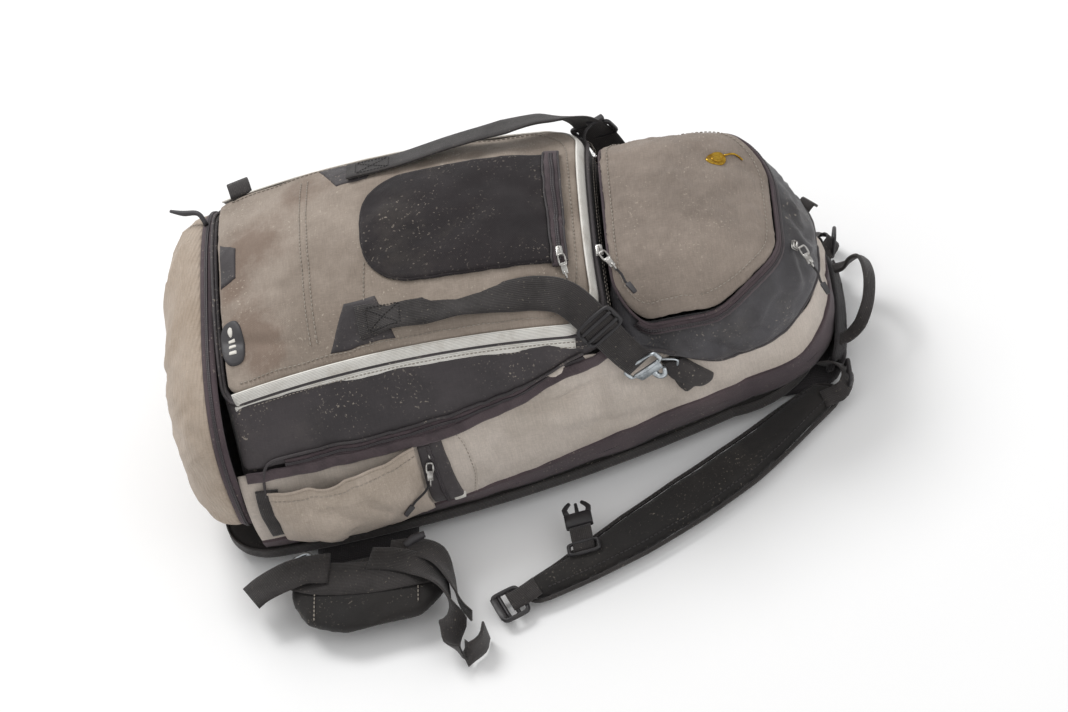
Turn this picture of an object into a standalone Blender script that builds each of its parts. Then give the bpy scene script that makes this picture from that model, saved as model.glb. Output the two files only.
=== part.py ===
"""Ski-touring backpack with an avalanche airbag, lying on its back pads.

X is the length with the head end at +X, +Z is the front of the pack, and -Y is the wearer's
right side. The origin is the middle of the spine pad's flat face. All sizes are in metres.
"""

import math

import bmesh
import bpy
from mathutils import Vector

# Driving dimensions
GAP = 0.0003
BAG_X0 = -0.2445
BAG_X1 = 0.270
HALF_WIDTH_TAIL = 0.1585
HALF_WIDTH_SWELL = 0.038
HALF_WIDTH_TAPER = 0.420
BOTTOM_X0 = -0.303
BOTTOM_END_TURN = 74
BOTTOM_ROUNDING = 0.62
BAND_WIDTH = 0.0125
SHELL = 0.004

# Levels, from the floor up
PAD_TOP = 0.0140
PANEL_LOW, PANEL_TOP = PAD_TOP + GAP, 0.0245
SHEET_LOW, SHEET_TOP = PANEL_TOP + GAP, 0.0268
STAY_LOW, STAY_TOP = SHEET_TOP + GAP, 0.0301
BAND_LOW, BAND_TOP = PANEL_TOP + GAP, 0.0390
MAIN_LOW, MAIN_BULGE, MAIN_TOP = BAND_TOP + GAP, 0.0750, 0.1120
TRAY_LOW = MAIN_TOP + GAP
TRAY_FLOOR = TRAY_LOW + 0.0042
BOX_TOP = 0.1800
END_MIDDLE, END_TOP, END_HALF = 0.085, 0.186, 0.154
END_TOP_POWER, END_BASE_POWER = 3.0, 3.6

# Front flap, its zip and the tray under it
FLAP_X0, FLAP_X1, FLAP_HALF, FLAP_THICK = -0.236, 0.088, 0.106, 0.008
FLAP_CROWN, FLAP_CROWN_X, FLAP_CROWN_BEND = 0.232, -0.060, 0.93
FLAP_RIM, FLAP_RIM_X, FLAP_RIM_BEND = 0.201, -0.075, 0.65
LEAN = 0.10
FLAP_CORNER = 0.030
FLAP_GAP = 0.0020
TRAY_X1, TRAY_HALF, WALL = 0.0955, 0.110, 0.005
TRAY_BASE_X1 = 0.0995
POCKET_X0, POCKET_X1, POCKET_HALF, POCKET_CORNER = -0.100, 0.059, 0.058, 0.030
POCKET_TAPE_WIDTH = 0.012
TAPE_WIDTH, TAPE_THICK = 0.0085, 0.0012
FLAP_HINGE = (-0.2385, 0.0, 0.1955)

# Top pocket
COVER_X0, COVER_X1, COVER_HALF, COVER_THICK = 0.1065, 0.246, 0.094, 0.008
COVER_CORNER_TAIL, COVER_CORNER_HEAD = 0.018, 0.058
COVER_RIM, COVER_CROWN, COVER_FALL_X, COVER_FALL = 0.150, 0.205, 0.130, 0.125
COVER_GAP = 0.0045
COVER_HINGE = (0.1055, 0.0, 0.197)

# Back panel, stiffening sheet and stays
PANEL_X0, PANEL_X1 = -0.280, 0.258
SHEET_X0, SHEET_X1 = -0.235, 0.246
STAY_X0, STAY_X1, STAY_WIDTH = -0.205, 0.215, 0.020

# Airbag system
AIRBAG_X0, AIRBAG_X1, AIRBAG_HALF, AIRBAG_LOW, AIRBAG_TOP = 0.120, 0.226, 0.066, 0.0305, 0.0880
CYLINDER_X0, CYLINDER_X1, CYLINDER_RADIUS, CYLINDER_NOSE = -0.190, 0.015, 0.028, 0.014
CYLINDER_Y, CYLINDER_Z = 0.080, 0.060
HEAD_LENGTH, HEAD_SIZE = 0.034, 0.036
HOSE_RADIUS, HOSE_GAP = 0.008, 0.0024

# Side pockets
SIDE_POCKET_X0, SIDE_POCKET_X1 = -0.222, -0.090
SIDE_POCKET_EDGE, SIDE_POCKET_BULGE = 0.003, 0.018
WALL_GAP = 0.0012

# Harness
BAG_HINGE = (-0.2895, 0.0, 0.0246)
STRAP_THICK = 0.014
STRAP_ROOT = (0.234, -0.102, 0.010)
WING_HINGE_Y, WING_HINGE_Z = 0.180, 0.008
WEBBING_THICK = 0.002
SKI_WEBBING = 0.030
ADJUSTER_WEBBING = 0.025

# Finishes: base colour, roughness, metallic
TAUPE = ((0.30, 0.26, 0.21), 0.85, 0.0)
SAND = ((0.42, 0.38, 0.32), 0.85, 0.0)
DARK_CLOTH = ((0.035, 0.030, 0.032), 0.90, 0.0)
STRETCH = ((0.030, 0.024, 0.026), 0.95, 0.0)
PLUM_TAPE = ((0.090, 0.065, 0.070), 0.80, 0.0)
WHITE_TAPE = ((0.86, 0.84, 0.79), 0.75, 0.0)
WEBBING = ((0.045, 0.038, 0.036), 0.85, 0.0)
FOAM = ((0.040, 0.038, 0.040), 0.95, 0.0)
PLASTIC = ((0.030, 0.030, 0.032), 0.45, 0.0)
SHEET_PLASTIC = ((0.55, 0.55, 0.53), 0.50, 0.0)
ALUMINIUM = ((0.62, 0.65, 0.67), 0.35, 1.0)
STEEL = ((0.60, 0.60, 0.60), 0.30, 1.0)
AIRBAG_CLOTH = ((0.80, 0.20, 0.05), 0.70, 0.0)
GAS_STEEL = ((0.75, 0.40, 0.08), 0.40, 0.3)
TRIGGER_RED = ((0.70, 0.06, 0.04), 0.45, 0.0)


# Building blocks


def clear_scene():
    for obj in list(bpy.data.objects):
        bpy.data.objects.remove(obj, do_unlink=True)


def finish_object(name, bm, finish, pivot=(0.0, 0.0, 0.0)):
    """Turns a bmesh in world coordinates into an object whose origin is the pivot."""
    bmesh.ops.recalc_face_normals(bm, faces=bm.faces)
    bmesh.ops.translate(bm, verts=bm.verts, vec=-Vector(pivot))
    mesh = bpy.data.meshes.new(name)
    bm.to_mesh(mesh)
    bm.free()
    obj = bpy.data.objects.new(name, mesh)
    obj.location = pivot
    bpy.context.scene.collection.objects.link(obj)
    colour, roughness, metallic = finish
    mat = bpy.data.materials.new(name + "_finish")
    mat.use_nodes = True
    shader = mat.node_tree.nodes["Principled BSDF"]
    shader.inputs["Base Color"].default_value = (*colour, 1.0)
    shader.inputs["Roughness"].default_value = roughness
    shader.inputs["Metallic"].default_value = metallic
    mesh.materials.append(mat)
    return obj


def loft(rings, closed=False):
    """Skin over rings of equally many points; the ends are capped, or joined when closed."""
    bm = bmesh.new()
    rows = [[bm.verts.new(point) for point in ring] for ring in rings]
    pairs = list(zip(rows, rows[1:]))
    if closed:
        pairs.append((rows[-1], rows[0]))
    for low, high in pairs:
        for i in range(len(low)):
            j = (i + 1) % len(low)
            bm.faces.new((low[i], low[j], high[j], high[i]))
    if not closed:
        bm.faces.new(list(reversed(rows[0])))
        bm.faces.new(rows[-1])
        flat_caps(bm)
    return bm


def flat_caps(bm):
    """Splits the many-sided end faces into triangles, so that a bent rim stays exact."""
    caps = [face for face in bm.faces if len(face.verts) > 4]
    bmesh.ops.triangulate(bm, faces=caps)


def box(low, high):
    (x0, y0, z0), (x1, y1, z1) = low, high
    outline = [(x0, y0), (x1, y0), (x1, y1), (x0, y1)]
    return prism(outline, z0, z1)


def prism(outline, z0, z1):
    return loft([[(x, y, z) for x, y in outline] for z in (z0, z1)])


def bar(centre, u, v, length, width, thick):
    """A block at centre whose length runs along u and whose width runs along v."""
    u, v = Vector(u).normalized(), Vector(v).normalized()
    w = u.cross(v).normalized()
    v = w.cross(u)
    corners = [(-1, -1), (1, -1), (1, 1), (-1, 1)]
    rings = []
    for end in (-0.5, 0.5):
        middle = Vector(centre) + u * length * end
        rings.append([middle + v * width * a / 2 + w * thick * b / 2 for a, b in corners])
    return loft(rings)


def ribbon(path, normals, widths, thick):
    """A flat strip along a path; each normal points out of the strip's face there."""
    points = [Vector(p) for p in path]
    count = len(points)
    if not isinstance(widths, (list, tuple)):
        widths = [widths] * count
    rings = []
    for i, point in enumerate(points):
        ahead, behind = points[min(i + 1, count - 1)], points[max(i - 1, 0)]
        tangent = (ahead - behind).normalized()
        across = Vector(normals[i]).cross(tangent).normalized() * widths[i] / 2
        up = tangent.cross(across).normalized() * thick / 2
        low, high = point - up, point + up
        rings.append([low - across, low + across, high + across, high - across])
    return loft(rings)


def rod(start, end, radius, sides=14, nose=0.0):
    """A round bar; a nose shortens the radius at both ends over that length."""
    start, end = Vector(start), Vector(end)
    axis = (end - start).normalized()
    side = axis.cross(Vector((0.0, 0.0, 1.0))).normalized()
    up = side.cross(axis)
    stations = [(start, radius), (end, radius)]
    if nose:
        stations = [
            (start, radius * 0.55),
            (start + axis * nose, radius),
            (end - axis * nose, radius),
            (end, radius * 0.55),
        ]
    rings = []
    for centre, r in stations:
        turns = [2 * math.pi * i / sides for i in range(sides)]
        rings.append([centre + side * r * math.cos(t) + up * r * math.sin(t) for t in turns])
    return loft(rings)


def slotted_plate(centre, u, v, length, width, thick, slots):
    """A buckle plate: a grid of cells along u with the cells at the slots left open."""
    u, v = Vector(u).normalized(), Vector(v).normalized()
    w = u.cross(v).normalized()
    v = w.cross(u)
    us = [-length / 2] + [edge for slot in slots for edge in slot] + [length / 2]
    vs = [-width / 2, -width / 2 + 0.004, width / 2 - 0.004, width / 2]
    bm = bmesh.new()
    grid = {}
    for i, a in enumerate(us):
        for j, b in enumerate(vs):
            grid[i, j] = bm.verts.new(Vector(centre) + u * a + v * b - w * thick / 2)
    for i in range(len(us) - 1):
        for j in range(len(vs) - 1):
            if not (i % 2 == 1 and j == 1):
                bm.faces.new((grid[i, j], grid[i + 1, j], grid[i + 1, j + 1], grid[i, j + 1]))
    bmesh.ops.recalc_face_normals(bm, faces=bm.faces)
    grown = bmesh.ops.extrude_face_region(bm, geom=list(bm.faces))
    moved = [item for item in grown["geom"] if isinstance(item, bmesh.types.BMVert)]
    bmesh.ops.translate(bm, verts=moved, vec=w * thick)
    return bm


# Shapes of the pack


def half_width(x):
    """Half the pack's width at its widest level: it narrows towards the head end."""
    run = x - BAG_X0
    return HALF_WIDTH_TAIL + HALF_WIDTH_SWELL * run - HALF_WIDTH_TAPER * run**2


def bag_half(x, z):
    """Distance of the side wall from the middle, at any height."""
    levels = [
        (MAIN_LOW, half_width(x) - 0.004),
        (MAIN_BULGE, half_width(x)),
        (MAIN_TOP, half_width(x) - 0.010),
        (BOX_TOP, TRAY_HALF),
    ]
    for (z0, y0), (z1, y1) in zip(levels, levels[1:]):
        if z <= z1:
            return y0 + (y1 - y0) * max(0.0, z - z0) / (z1 - z0)
    return levels[-1][1]


def plan_ring(x0, x1, half, r0, r1, height):
    """A tapered outline with rounded corners, seen from the front; height gives its level."""
    ends, sides, arc = 6, 6, 3
    outline = []

    def corner(x_centre, radius, side, start):
        reach = half(x_centre)
        y_centre = side * (reach - radius)
        for i in range(arc + 1):
            turn = math.radians(start + 90 * i / arc)
            outline.append((x_centre + radius * math.cos(turn), y_centre + radius * math.sin(turn)))

    def straight(start, stop, count):
        for i in range(1, count):
            t = i / count
            outline.append((start[0] + (stop[0] - start[0]) * t, start[1] + (stop[1] - start[1]) * t))

    def flank(start, stop, side):
        for i in range(1, sides):
            x = start + (stop - start) * i / sides
            outline.append((x, side * half(x)))

    corner(x1 - r1, r1, -1, -90)
    straight(outline[-1], (x1, half(x1 - r1) - r1), ends)
    corner(x1 - r1, r1, 1, 0)
    flank(x1 - r1, x0 + r0, 1)
    corner(x0 + r0, r0, 1, 90)
    straight(outline[-1], (x0, r0 - half(x0 + r0)), ends)
    corner(x0 + r0, r0, -1, 180)
    flank(x0 + r0, x1 - r1, -1)
    return [(x, y, height(x, y)) for x, y in outline]


def level(z):
    return lambda x, y: z


def slab(x0, x1, half, r0, r1, low, high):
    """A flat plate with the outline of plan_ring."""
    return loft([plan_ring(x0, x1, half, r0, r1, level(z)) for z in (low, high)])


def inset(amount):
    return lambda x: half_width(x) - amount


def fixed(value):
    return lambda x: value


def flap_top(x, y):
    """Height of the crowned front flap, which leans up towards the wearer's left."""
    crown = FLAP_CROWN - FLAP_CROWN_BEND * (x - FLAP_CROWN_X) ** 2
    rim = FLAP_RIM - FLAP_RIM_BEND * (x - FLAP_RIM_X) ** 2
    share = min(1.0, abs(y) / FLAP_HALF)
    return rim + (crown - rim) * (1 - share**2.6) + LEAN * y


def cover_top(x, y):
    """Height of the boxy top pocket cover, which falls towards the head end."""
    across = 1 - min(1.0, abs(y) / (COVER_HALF + 0.004)) ** 5
    along = 1 - max(0.0, (x - COVER_FALL_X) / COVER_FALL) ** 2.6
    return COVER_RIM + (COVER_CROWN - COVER_RIM) * across * along + LEAN * y


def surface_point(height, x, y, lift):
    """A point at a distance above a crowned surface, and the surface's normal there."""
    step = 0.002
    slope_x = (height(x + step, y) - height(x - step, y)) / (2 * step)
    slope_y = (height(x, y + step) - height(x, y - step)) / (2 * step)
    normal = Vector((-slope_x, -slope_y, 1.0)).normalized()
    return Vector((x, y, height(x, y))) + normal * lift, normal


def crowned_plate(x0, x1, half, r0, r1, height, low, high, rows=8, columns=8):
    """A plate that follows a crowned surface, from low to high above it."""

    def reach(x):
        if x < x0 + r0:
            return half - r0 + math.sqrt(max(0.0, r0**2 - (x0 + r0 - x) ** 2))
        if x > x1 - r1:
            return half - r1 + math.sqrt(max(0.0, r1**2 - (x - x1 + r1) ** 2))
        return half

    turns = [math.radians(a) for a in (0, 25, 50, 90)]
    xs = [x0 + r0 - r0 * math.cos(t) for t in turns]
    xs += [x0 + r0 + (x1 - r1 - x0 - r0) * i / rows for i in range(1, rows)]
    xs += [x1 - r1 + r1 * math.cos(t) for t in reversed(turns)]
    bm = bmesh.new()
    layers = []
    for lift in (low, high):
        layer = []
        for x in xs:
            row = []
            for j in range(columns + 1):
                y = reach(x) * (2 * j / columns - 1)
                row.append(bm.verts.new((x, y, height(x, y) + lift)))
            layer.append(row)
        layers.append(layer)
    under, over = layers
    for i in range(len(xs) - 1):
        for j in range(columns):
            bm.faces.new((over[i][j], over[i + 1][j], over[i + 1][j + 1], over[i][j + 1]))
            bm.faces.new((under[i][j], under[i][j + 1], under[i + 1][j + 1], under[i + 1][j]))
        bm.faces.new((over[i][0], under[i][0], under[i + 1][0], over[i + 1][0]))
        bm.faces.new((over[i][-1], over[i + 1][-1], under[i + 1][-1], under[i][-1]))
    for j in range(columns):
        bm.faces.new((over[0][j], over[0][j + 1], under[0][j + 1], under[0][j]))
        bm.faces.new((over[-1][j], under[-1][j], under[-1][j + 1], over[-1][j + 1]))
    return bm


def mirrored(points, side):
    """The same points on the given side; they are written for the right side, -Y."""
    return [(x, y if side < 0 else -y, z) for x, y, z in points]


SIDES = (("right", -1), ("left", 1))


# Back and frame


def back_pads():
    finish_object("spine_pad", box((-0.085, -0.022, 0.0), (0.200, 0.022, PAD_TOP)), FOAM)
    finish_object("lumbar_pad", box((-0.235, -0.060, 0.0), (-0.100, 0.060, PAD_TOP)), FOAM)
    for name, side in SIDES:
        outline = [(-0.085, 0.034), (0.200, 0.034), (0.200, 0.078), (-0.085, 0.098)]
        outline = [(x, side * y) for x, y in outline]
        finish_object(f"back_pad_{name}", prism(outline, 0.0, PAD_TOP), FOAM)


def frame():
    """The back panel, the stiffening sheet behind it and the two stays that taper inwards."""
    panel = slab(PANEL_X0, PANEL_X1, inset(0.006), 0.045, 0.085, PANEL_LOW, PANEL_TOP)
    finish_object("back_panel", panel, DARK_CLOTH)
    sheet = slab(SHEET_X0, SHEET_X1, inset(0.024), 0.030, 0.070, SHEET_LOW, SHEET_TOP)
    finish_object("frame_sheet", sheet, SHEET_PLASTIC)
    for name, side in SIDES:
        outline = [(STAY_X0, 0.045), (STAY_X1, 0.040)]
        outline += [(x, y + STAY_WIDTH) for x, y in reversed(outline)]
        outline = [(x, side * y) for x, y in outline]
        finish_object(f"stay_{name}", prism(outline, STAY_LOW, STAY_TOP), ALUMINIUM)


def harness_yoke():
    stations = [
        (0.205, 0.076, 0.0002, 0.0138),
        (0.243, 0.076, 0.0002, 0.0138),
        (0.265, 0.070, 0.0002, 0.0138),
        (0.274, 0.062, 0.0020, 0.0330),
        (0.284, 0.054, 0.0060, 0.0290),
    ]
    rings = []
    for x, half, low, high in stations:
        rings.append([(x, -half, low), (x, half, low), (x, half, high), (x, -half, high)])
    finish_object("shoulder_yoke", loft(rings), FOAM)
    for name, side in SIDES:
        centre = (0.2765, side * 0.079, 0.022)
        plate = slotted_plate(centre, (0, 1, 0), (0.3, 0, 1), 0.026, 0.024, 0.004, [(-0.007, 0.003)])
        finish_object(f"load_lifter_{name}", plate, PLASTIC)


def haul_loop():
    path = [
        (0.2880, -0.040, 0.030),
        (0.2960, -0.038, 0.041),
        (0.3060, -0.026, 0.054),
        (0.3095, -0.004, 0.060),
        (0.3055, 0.020, 0.056),
        (0.2950, 0.034, 0.045),
        (0.2880, 0.038, 0.034),
    ]
    normals = [(0.0, -1.0, 0.0), (0.3, -0.9, 0.2), (0.6, -0.5, 0.5), (0.7, 0.0, 0.7)]
    normals += [(x, -y, z) for x, y, z in reversed(normals[:3])]
    finish_object("haul_loop", ribbon(path, normals, 0.012, 0.003), WEBBING, (0.2850, 0.0, 0.034))


# Airbag system, inside the main compartment


def airbag_system():
    folded = slab(AIRBAG_X0, AIRBAG_X1, fixed(AIRBAG_HALF), 0.015, 0.040, AIRBAG_LOW, AIRBAG_TOP)
    finish_object("folded_airbag", folded, AIRBAG_CLOTH)
    y, z = CYLINDER_Y, CYLINDER_Z
    cylinder = rod((CYLINDER_X0, y, z), (CYLINDER_X1, y, z), CYLINDER_RADIUS, nose=CYLINDER_NOSE)
    finish_object("gas_cylinder", cylinder, GAS_STEEL)
    head_x = CYLINDER_X1 + GAP + HEAD_LENGTH / 2
    head = bar((head_x, y, z), (1, 0, 0), (0, 1, 0), HEAD_LENGTH, HEAD_SIZE, HEAD_SIZE)
    finish_object("release_head", head, ALUMINIUM)
    hose_start = head_x + HEAD_LENGTH / 2 + HOSE_GAP
    points = [(hose_start, y, z), (0.075, y, z), (0.095, 0.052, z), (AIRBAG_X0 - HOSE_GAP, 0.050, z)]
    curve_tube("inflation_hose", points, HOSE_RADIUS, PLASTIC)


def curve_tube(name, points, radius, finish):
    """A tube along a smooth curve through the points."""
    samples = []
    padded = [points[0]] + points + [points[-1]]
    for i in range(len(points) - 1):
        p0, p1, p2, p3 = (Vector(p) for p in padded[i : i + 4])
        for k in range(4):
            t = k / 4
            samples.append(
                0.5
                * (
                    2 * p1
                    + (p2 - p0) * t
                    + (2 * p0 - 5 * p1 + 4 * p2 - p3) * t**2
                    + (3 * p1 - p0 - 3 * p2 + p3) * t**3
                )
            )
    samples.append(Vector(points[-1]))
    rings = []
    for i, point in enumerate(samples):
        ahead = samples[min(i + 1, len(samples) - 1)]
        tangent = (ahead - samples[max(i - 1, 0)]).normalized()
        side = tangent.cross(Vector((0.0, 0.0, 1.0))).normalized()
        up = side.cross(tangent)
        turns = [2 * math.pi * k / 8 for k in range(8)]
        rings.append([point + side * radius * math.cos(t) + up * radius * math.sin(t) for t in turns])
    finish_object(name, loft(rings), finish)


# Bag


def main_compartment():
    rings = [
        plan_ring(BAG_X0, BAG_X1 - 0.006, inset(0.010), 0.020, 0.072, level(MAIN_TOP)),
        plan_ring(BAG_X0, BAG_X1, inset(0.000), 0.020, 0.078, level(MAIN_BULGE)),
        plan_ring(BAG_X0, BAG_X1, inset(0.004), 0.020, 0.078, level(MAIN_LOW)),
        plan_ring(BAG_X0 + 0.004, BAG_X1 - 0.004, inset(0.008), 0.018, 0.074, level(MAIN_LOW)),
        plan_ring(BAG_X0 + 0.004, BAG_X1 - 0.004, inset(0.004), 0.018, 0.074, level(MAIN_BULGE)),
        plan_ring(BAG_X0 + 0.004, BAG_X1 - 0.010, inset(0.014), 0.018, 0.068, level(MAIN_TOP - 0.004)),
    ]
    finish_object("main_compartment", loft(rings), SAND, BAG_HINGE)


def back_zip_band():
    rings = [
        plan_ring(-0.289, BAG_X1 - 0.001, inset(0.005), 0.050, 0.078, level(BAND_LOW)),
        plan_ring(-0.289, BAG_X1 - 0.001, inset(0.003), 0.050, 0.078, level(BAND_TOP)),
        plan_ring(-0.285, BAG_X1 - 0.005, inset(0.007), 0.046, 0.074, level(BAND_TOP)),
        plan_ring(-0.285, BAG_X1 - 0.005, inset(0.009), 0.046, 0.074, level(BAND_LOW)),
    ]
    finish_object("back_zip_band", loft(rings, closed=True), PLUM_TAPE, BAG_HINGE)


def end_ring(x, share):
    """The pack's cross-section near its bottom end: a round top over a flatter base."""
    count = 24
    ring = []
    for i in range(count):
        turn = 2 * math.pi * i / count
        c, s = math.cos(turn), math.sin(turn)
        power, reach = END_BASE_POWER, END_MIDDLE - MAIN_LOW
        if s > 0:
            power, reach = END_TOP_POWER, END_TOP - END_MIDDLE
        y = END_HALF * math.copysign(abs(c) ** (2 / power), c)
        z = reach * math.copysign(abs(s) ** (2 / power), s)
        ring.append((x, y * share, END_MIDDLE + z * share))
    return ring


def bottom_compartment():
    start = BAG_X0 - GAP - BAND_WIDTH - GAP
    length = start - BOTTOM_X0
    rings = []
    for turn in (0, 20, 40, 58, BOTTOM_END_TURN):
        t = math.radians(turn)
        reach = math.sin(t) / math.sin(math.radians(BOTTOM_END_TURN))
        rings.append(end_ring(start - length * reach, math.cos(t) ** BOTTOM_ROUNDING))
    finish_object("bottom_compartment", loft(rings), SAND, BAG_HINGE)


def bottom_zip_band():
    x0, x1 = BAG_X0 - GAP - BAND_WIDTH, BAG_X0 - GAP
    rings = [end_ring(x0, 1.0), end_ring(x1, 1.0), end_ring(x1, 0.96), end_ring(x0, 0.96)]
    finish_object("bottom_zip_band", loft(rings, closed=True), PLUM_TAPE, BAG_HINGE)


def tool_compartment():
    """The tray that the front flap closes; its rim follows the flap's underside."""

    def rim(below):
        return lambda x, y: flap_top(x, y) - FLAP_THICK - FLAP_GAP - below

    inner = TRAY_HALF - WALL
    inner_x1, inner_corner = TRAY_X1 - WALL, FLAP_CORNER - WALL
    rings = [
        plan_ring(BAG_X0, TRAY_BASE_X1, inset(0.0105), 0.020, 0.008, level(TRAY_LOW)),
        plan_ring(BAG_X0 + 0.002, TRAY_X1, fixed(TRAY_HALF), 0.020, FLAP_CORNER, rim(0.010)),
        plan_ring(BAG_X0 + 0.002, TRAY_X1, fixed(TRAY_HALF), 0.020, FLAP_CORNER, rim(0.0)),
        plan_ring(BAG_X0 + 0.006, inner_x1, fixed(inner), 0.016, inner_corner, rim(0.0)),
        plan_ring(BAG_X0 + 0.006, inner_x1, fixed(inner), 0.016, inner_corner, level(TRAY_FLOOR)),
    ]
    finish_object("tool_compartment", loft(rings), DARK_CLOTH, BAG_HINGE)


def top_pocket_tray():
    """The tray that the top pocket cover closes; its rim follows the cover's underside."""

    def rim(x, y):
        return cover_top(min(max(x, COVER_X0), COVER_X1), y) - COVER_THICK - COVER_GAP

    outer, inner = COVER_HALF + 0.002, COVER_HALF - 0.003
    rings = [
        plan_ring(TRAY_BASE_X1 + 0.0005, BAG_X1 - 0.008, inset(0.0105), 0.008, 0.070, level(TRAY_LOW)),
        plan_ring(COVER_X0 - 0.002, COVER_X1 + 0.002, fixed(outer), 0.010, 0.060, rim),
        plan_ring(COVER_X0 + 0.003, COVER_X1 - 0.003, fixed(inner), 0.008, 0.055, rim),
        plan_ring(COVER_X0 + 0.003, COVER_X1 - 0.003, fixed(inner), 0.008, 0.055, level(TRAY_FLOOR)),
    ]
    finish_object("top_pocket_tray", loft(rings), DARK_CLOTH, BAG_HINGE)


def side_pockets():
    """A bellows pocket on each side, as deep as its bulge."""
    x0, x1, steps = SIDE_POCKET_X0, SIDE_POCKET_X1, 8
    shares = ((MAIN_LOW + 0.0007, 0.75), (MAIN_BULGE, 1.0), (MAIN_TOP - 0.004, 0.35))
    for name, side in SIDES:
        rings = []
        for z, share in shares:
            inner = []
            outer = []
            for i in range(5):
                x = x1 + (x0 - x1) * i / 4
                inner.append((x, bag_half(x, z) + WALL_GAP))
            for i in range(steps + 1):
                x = x0 + (x1 - x0) * i / steps
                bulge = SIDE_POCKET_EDGE + SIDE_POCKET_BULGE * share * math.sin(math.pi * i / steps) ** 0.7
                outer.append((x, bag_half(x, z) + WALL_GAP + bulge))
            rings.append([(x, side * y, z) for x, y in inner + outer])
        finish_object(f"side_pocket_{name}", loft(rings), TAUPE, BAG_HINGE)


def hook_anchors():
    stations = ((0.133, 0.1115), (0.142, 0.1020), (0.149, 0.0930), (0.156, 0.0820))
    widths = [0.014, 0.022, 0.028, 0.032]
    face = [(0.0, -0.95, 0.3), (0.0, -0.95, 0.3), (0.0, -1.0, 0.1), (0.0, -1.0, 0.0)]
    for name, side in SIDES:
        path = [(x, -bag_half(x, z) - 0.0080, z) for x, z in stations]
        strip = ribbon(mirrored(path, side), mirrored(face, side), widths, 0.003)
        finish_object(f"hook_anchor_{name}", strip, WEBBING, BAG_HINGE)


def zip_route(half, x_end, corner, below):
    """The U-shaped way of the flap's zip: up one side, round the head end and back."""
    start = FLAP_X0 + 0.004
    outline = [(start + (x_end - corner - start) * i / 6, -half) for i in range(6)]
    for i in range(5):
        turn = math.radians(-90 + 90 * i / 4)
        outline.append((x_end - corner + corner * math.cos(turn), corner - half + corner * math.sin(turn)))
    outline += [(x_end, (half - corner) * y) for y in (-0.5, 0.0)]
    outline += [(x, -y) for x, y in reversed(outline[:-1])]
    path = [(x, y, flap_top(x, y) - below) for x, y in outline]
    normals = []
    for i in range(len(outline)):
        ahead = outline[min(i + 1, len(outline) - 1)]
        behind = outline[max(i - 1, 0)]
        normals.append((ahead[1] - behind[1], behind[0] - ahead[0], 0.0))
    return path, normals


def zip_tapes():
    path, normals = zip_route(TRAY_HALF + 0.0014, TRAY_X1 + 0.0014, FLAP_CORNER, FLAP_THICK + 0.0070)
    finish_object("tray_zip_tape", ribbon(path, normals, TAPE_WIDTH, TAPE_THICK), WHITE_TAPE, BAG_HINGE)
    path, normals = zip_route(FLAP_HALF + 0.0013, FLAP_X1 + 0.0013, FLAP_CORNER + 0.001, 0.0030)
    finish_object("flap_zip_tape", ribbon(path, normals, TAPE_WIDTH, TAPE_THICK), WHITE_TAPE, FLAP_HINGE)


# Front flap and top pocket cover


def front_flap():
    plate = crowned_plate(
        FLAP_X0, FLAP_X1, FLAP_HALF, 0.006, FLAP_CORNER, flap_top, -FLAP_THICK, 0.0, rows=9
    )
    finish_object("front_flap", plate, TAUPE, FLAP_HINGE)
    size = (POCKET_X0, POCKET_X1, POCKET_HALF, POCKET_CORNER, 0.003)
    pocket = crowned_plate(*size, flap_top, 0.0008, 0.0045, rows=5, columns=6)
    finish_object("stretch_pocket", pocket, STRETCH, FLAP_HINGE)
    size = (POCKET_X1 + 0.001, POCKET_X1 + 0.001 + POCKET_TAPE_WIDTH, POCKET_HALF, 0.002, 0.002)
    tape = crowned_plate(*size, flap_top, 0.0008, 0.0030, rows=1, columns=8)
    finish_object("pocket_zip_tape", tape, PLUM_TAPE, FLAP_HINGE)


def top_pocket_cover():
    plate = crowned_plate(
        COVER_X0,
        COVER_X1,
        COVER_HALF,
        COVER_CORNER_TAIL,
        COVER_CORNER_HEAD,
        cover_top,
        -COVER_THICK,
        0.0,
        rows=5,
        columns=12,
    )
    finish_object("top_pocket_cover", plate, TAUPE, COVER_HINGE)


# Ski straps


def ski_strap_right():
    """The right strap lies on the flap and bends down over the zip to its hook."""
    path, normals = [], []
    for x in (-0.112, -0.070, -0.025, 0.020, 0.044):
        point, normal = surface_point(flap_top, x, -0.082, 0.0038)
        path.append(point)
        normals.append(normal)
    path += [(0.068, -0.0950, 0.2000), (0.088, -0.1110, 0.1800)]
    path += [(0.100, -0.1185, 0.1590), (0.109, -0.1215, 0.1420)]
    normals += [(0.3, -0.6, 0.75), (0.45, -0.75, 0.5), (0.2, -0.92, 0.3), (0.0, -0.97, 0.2)]
    pivot = tuple(path[0])
    finish_object("ski_strap_right", ribbon(path, normals, SKI_WEBBING, WEBBING_THICK), WEBBING, pivot)
    ski_hook("ski_hook_right", (0.1200, -0.1245, 0.1255), (0.0105, -0.0030, -0.0165), -1, pivot)


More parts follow.
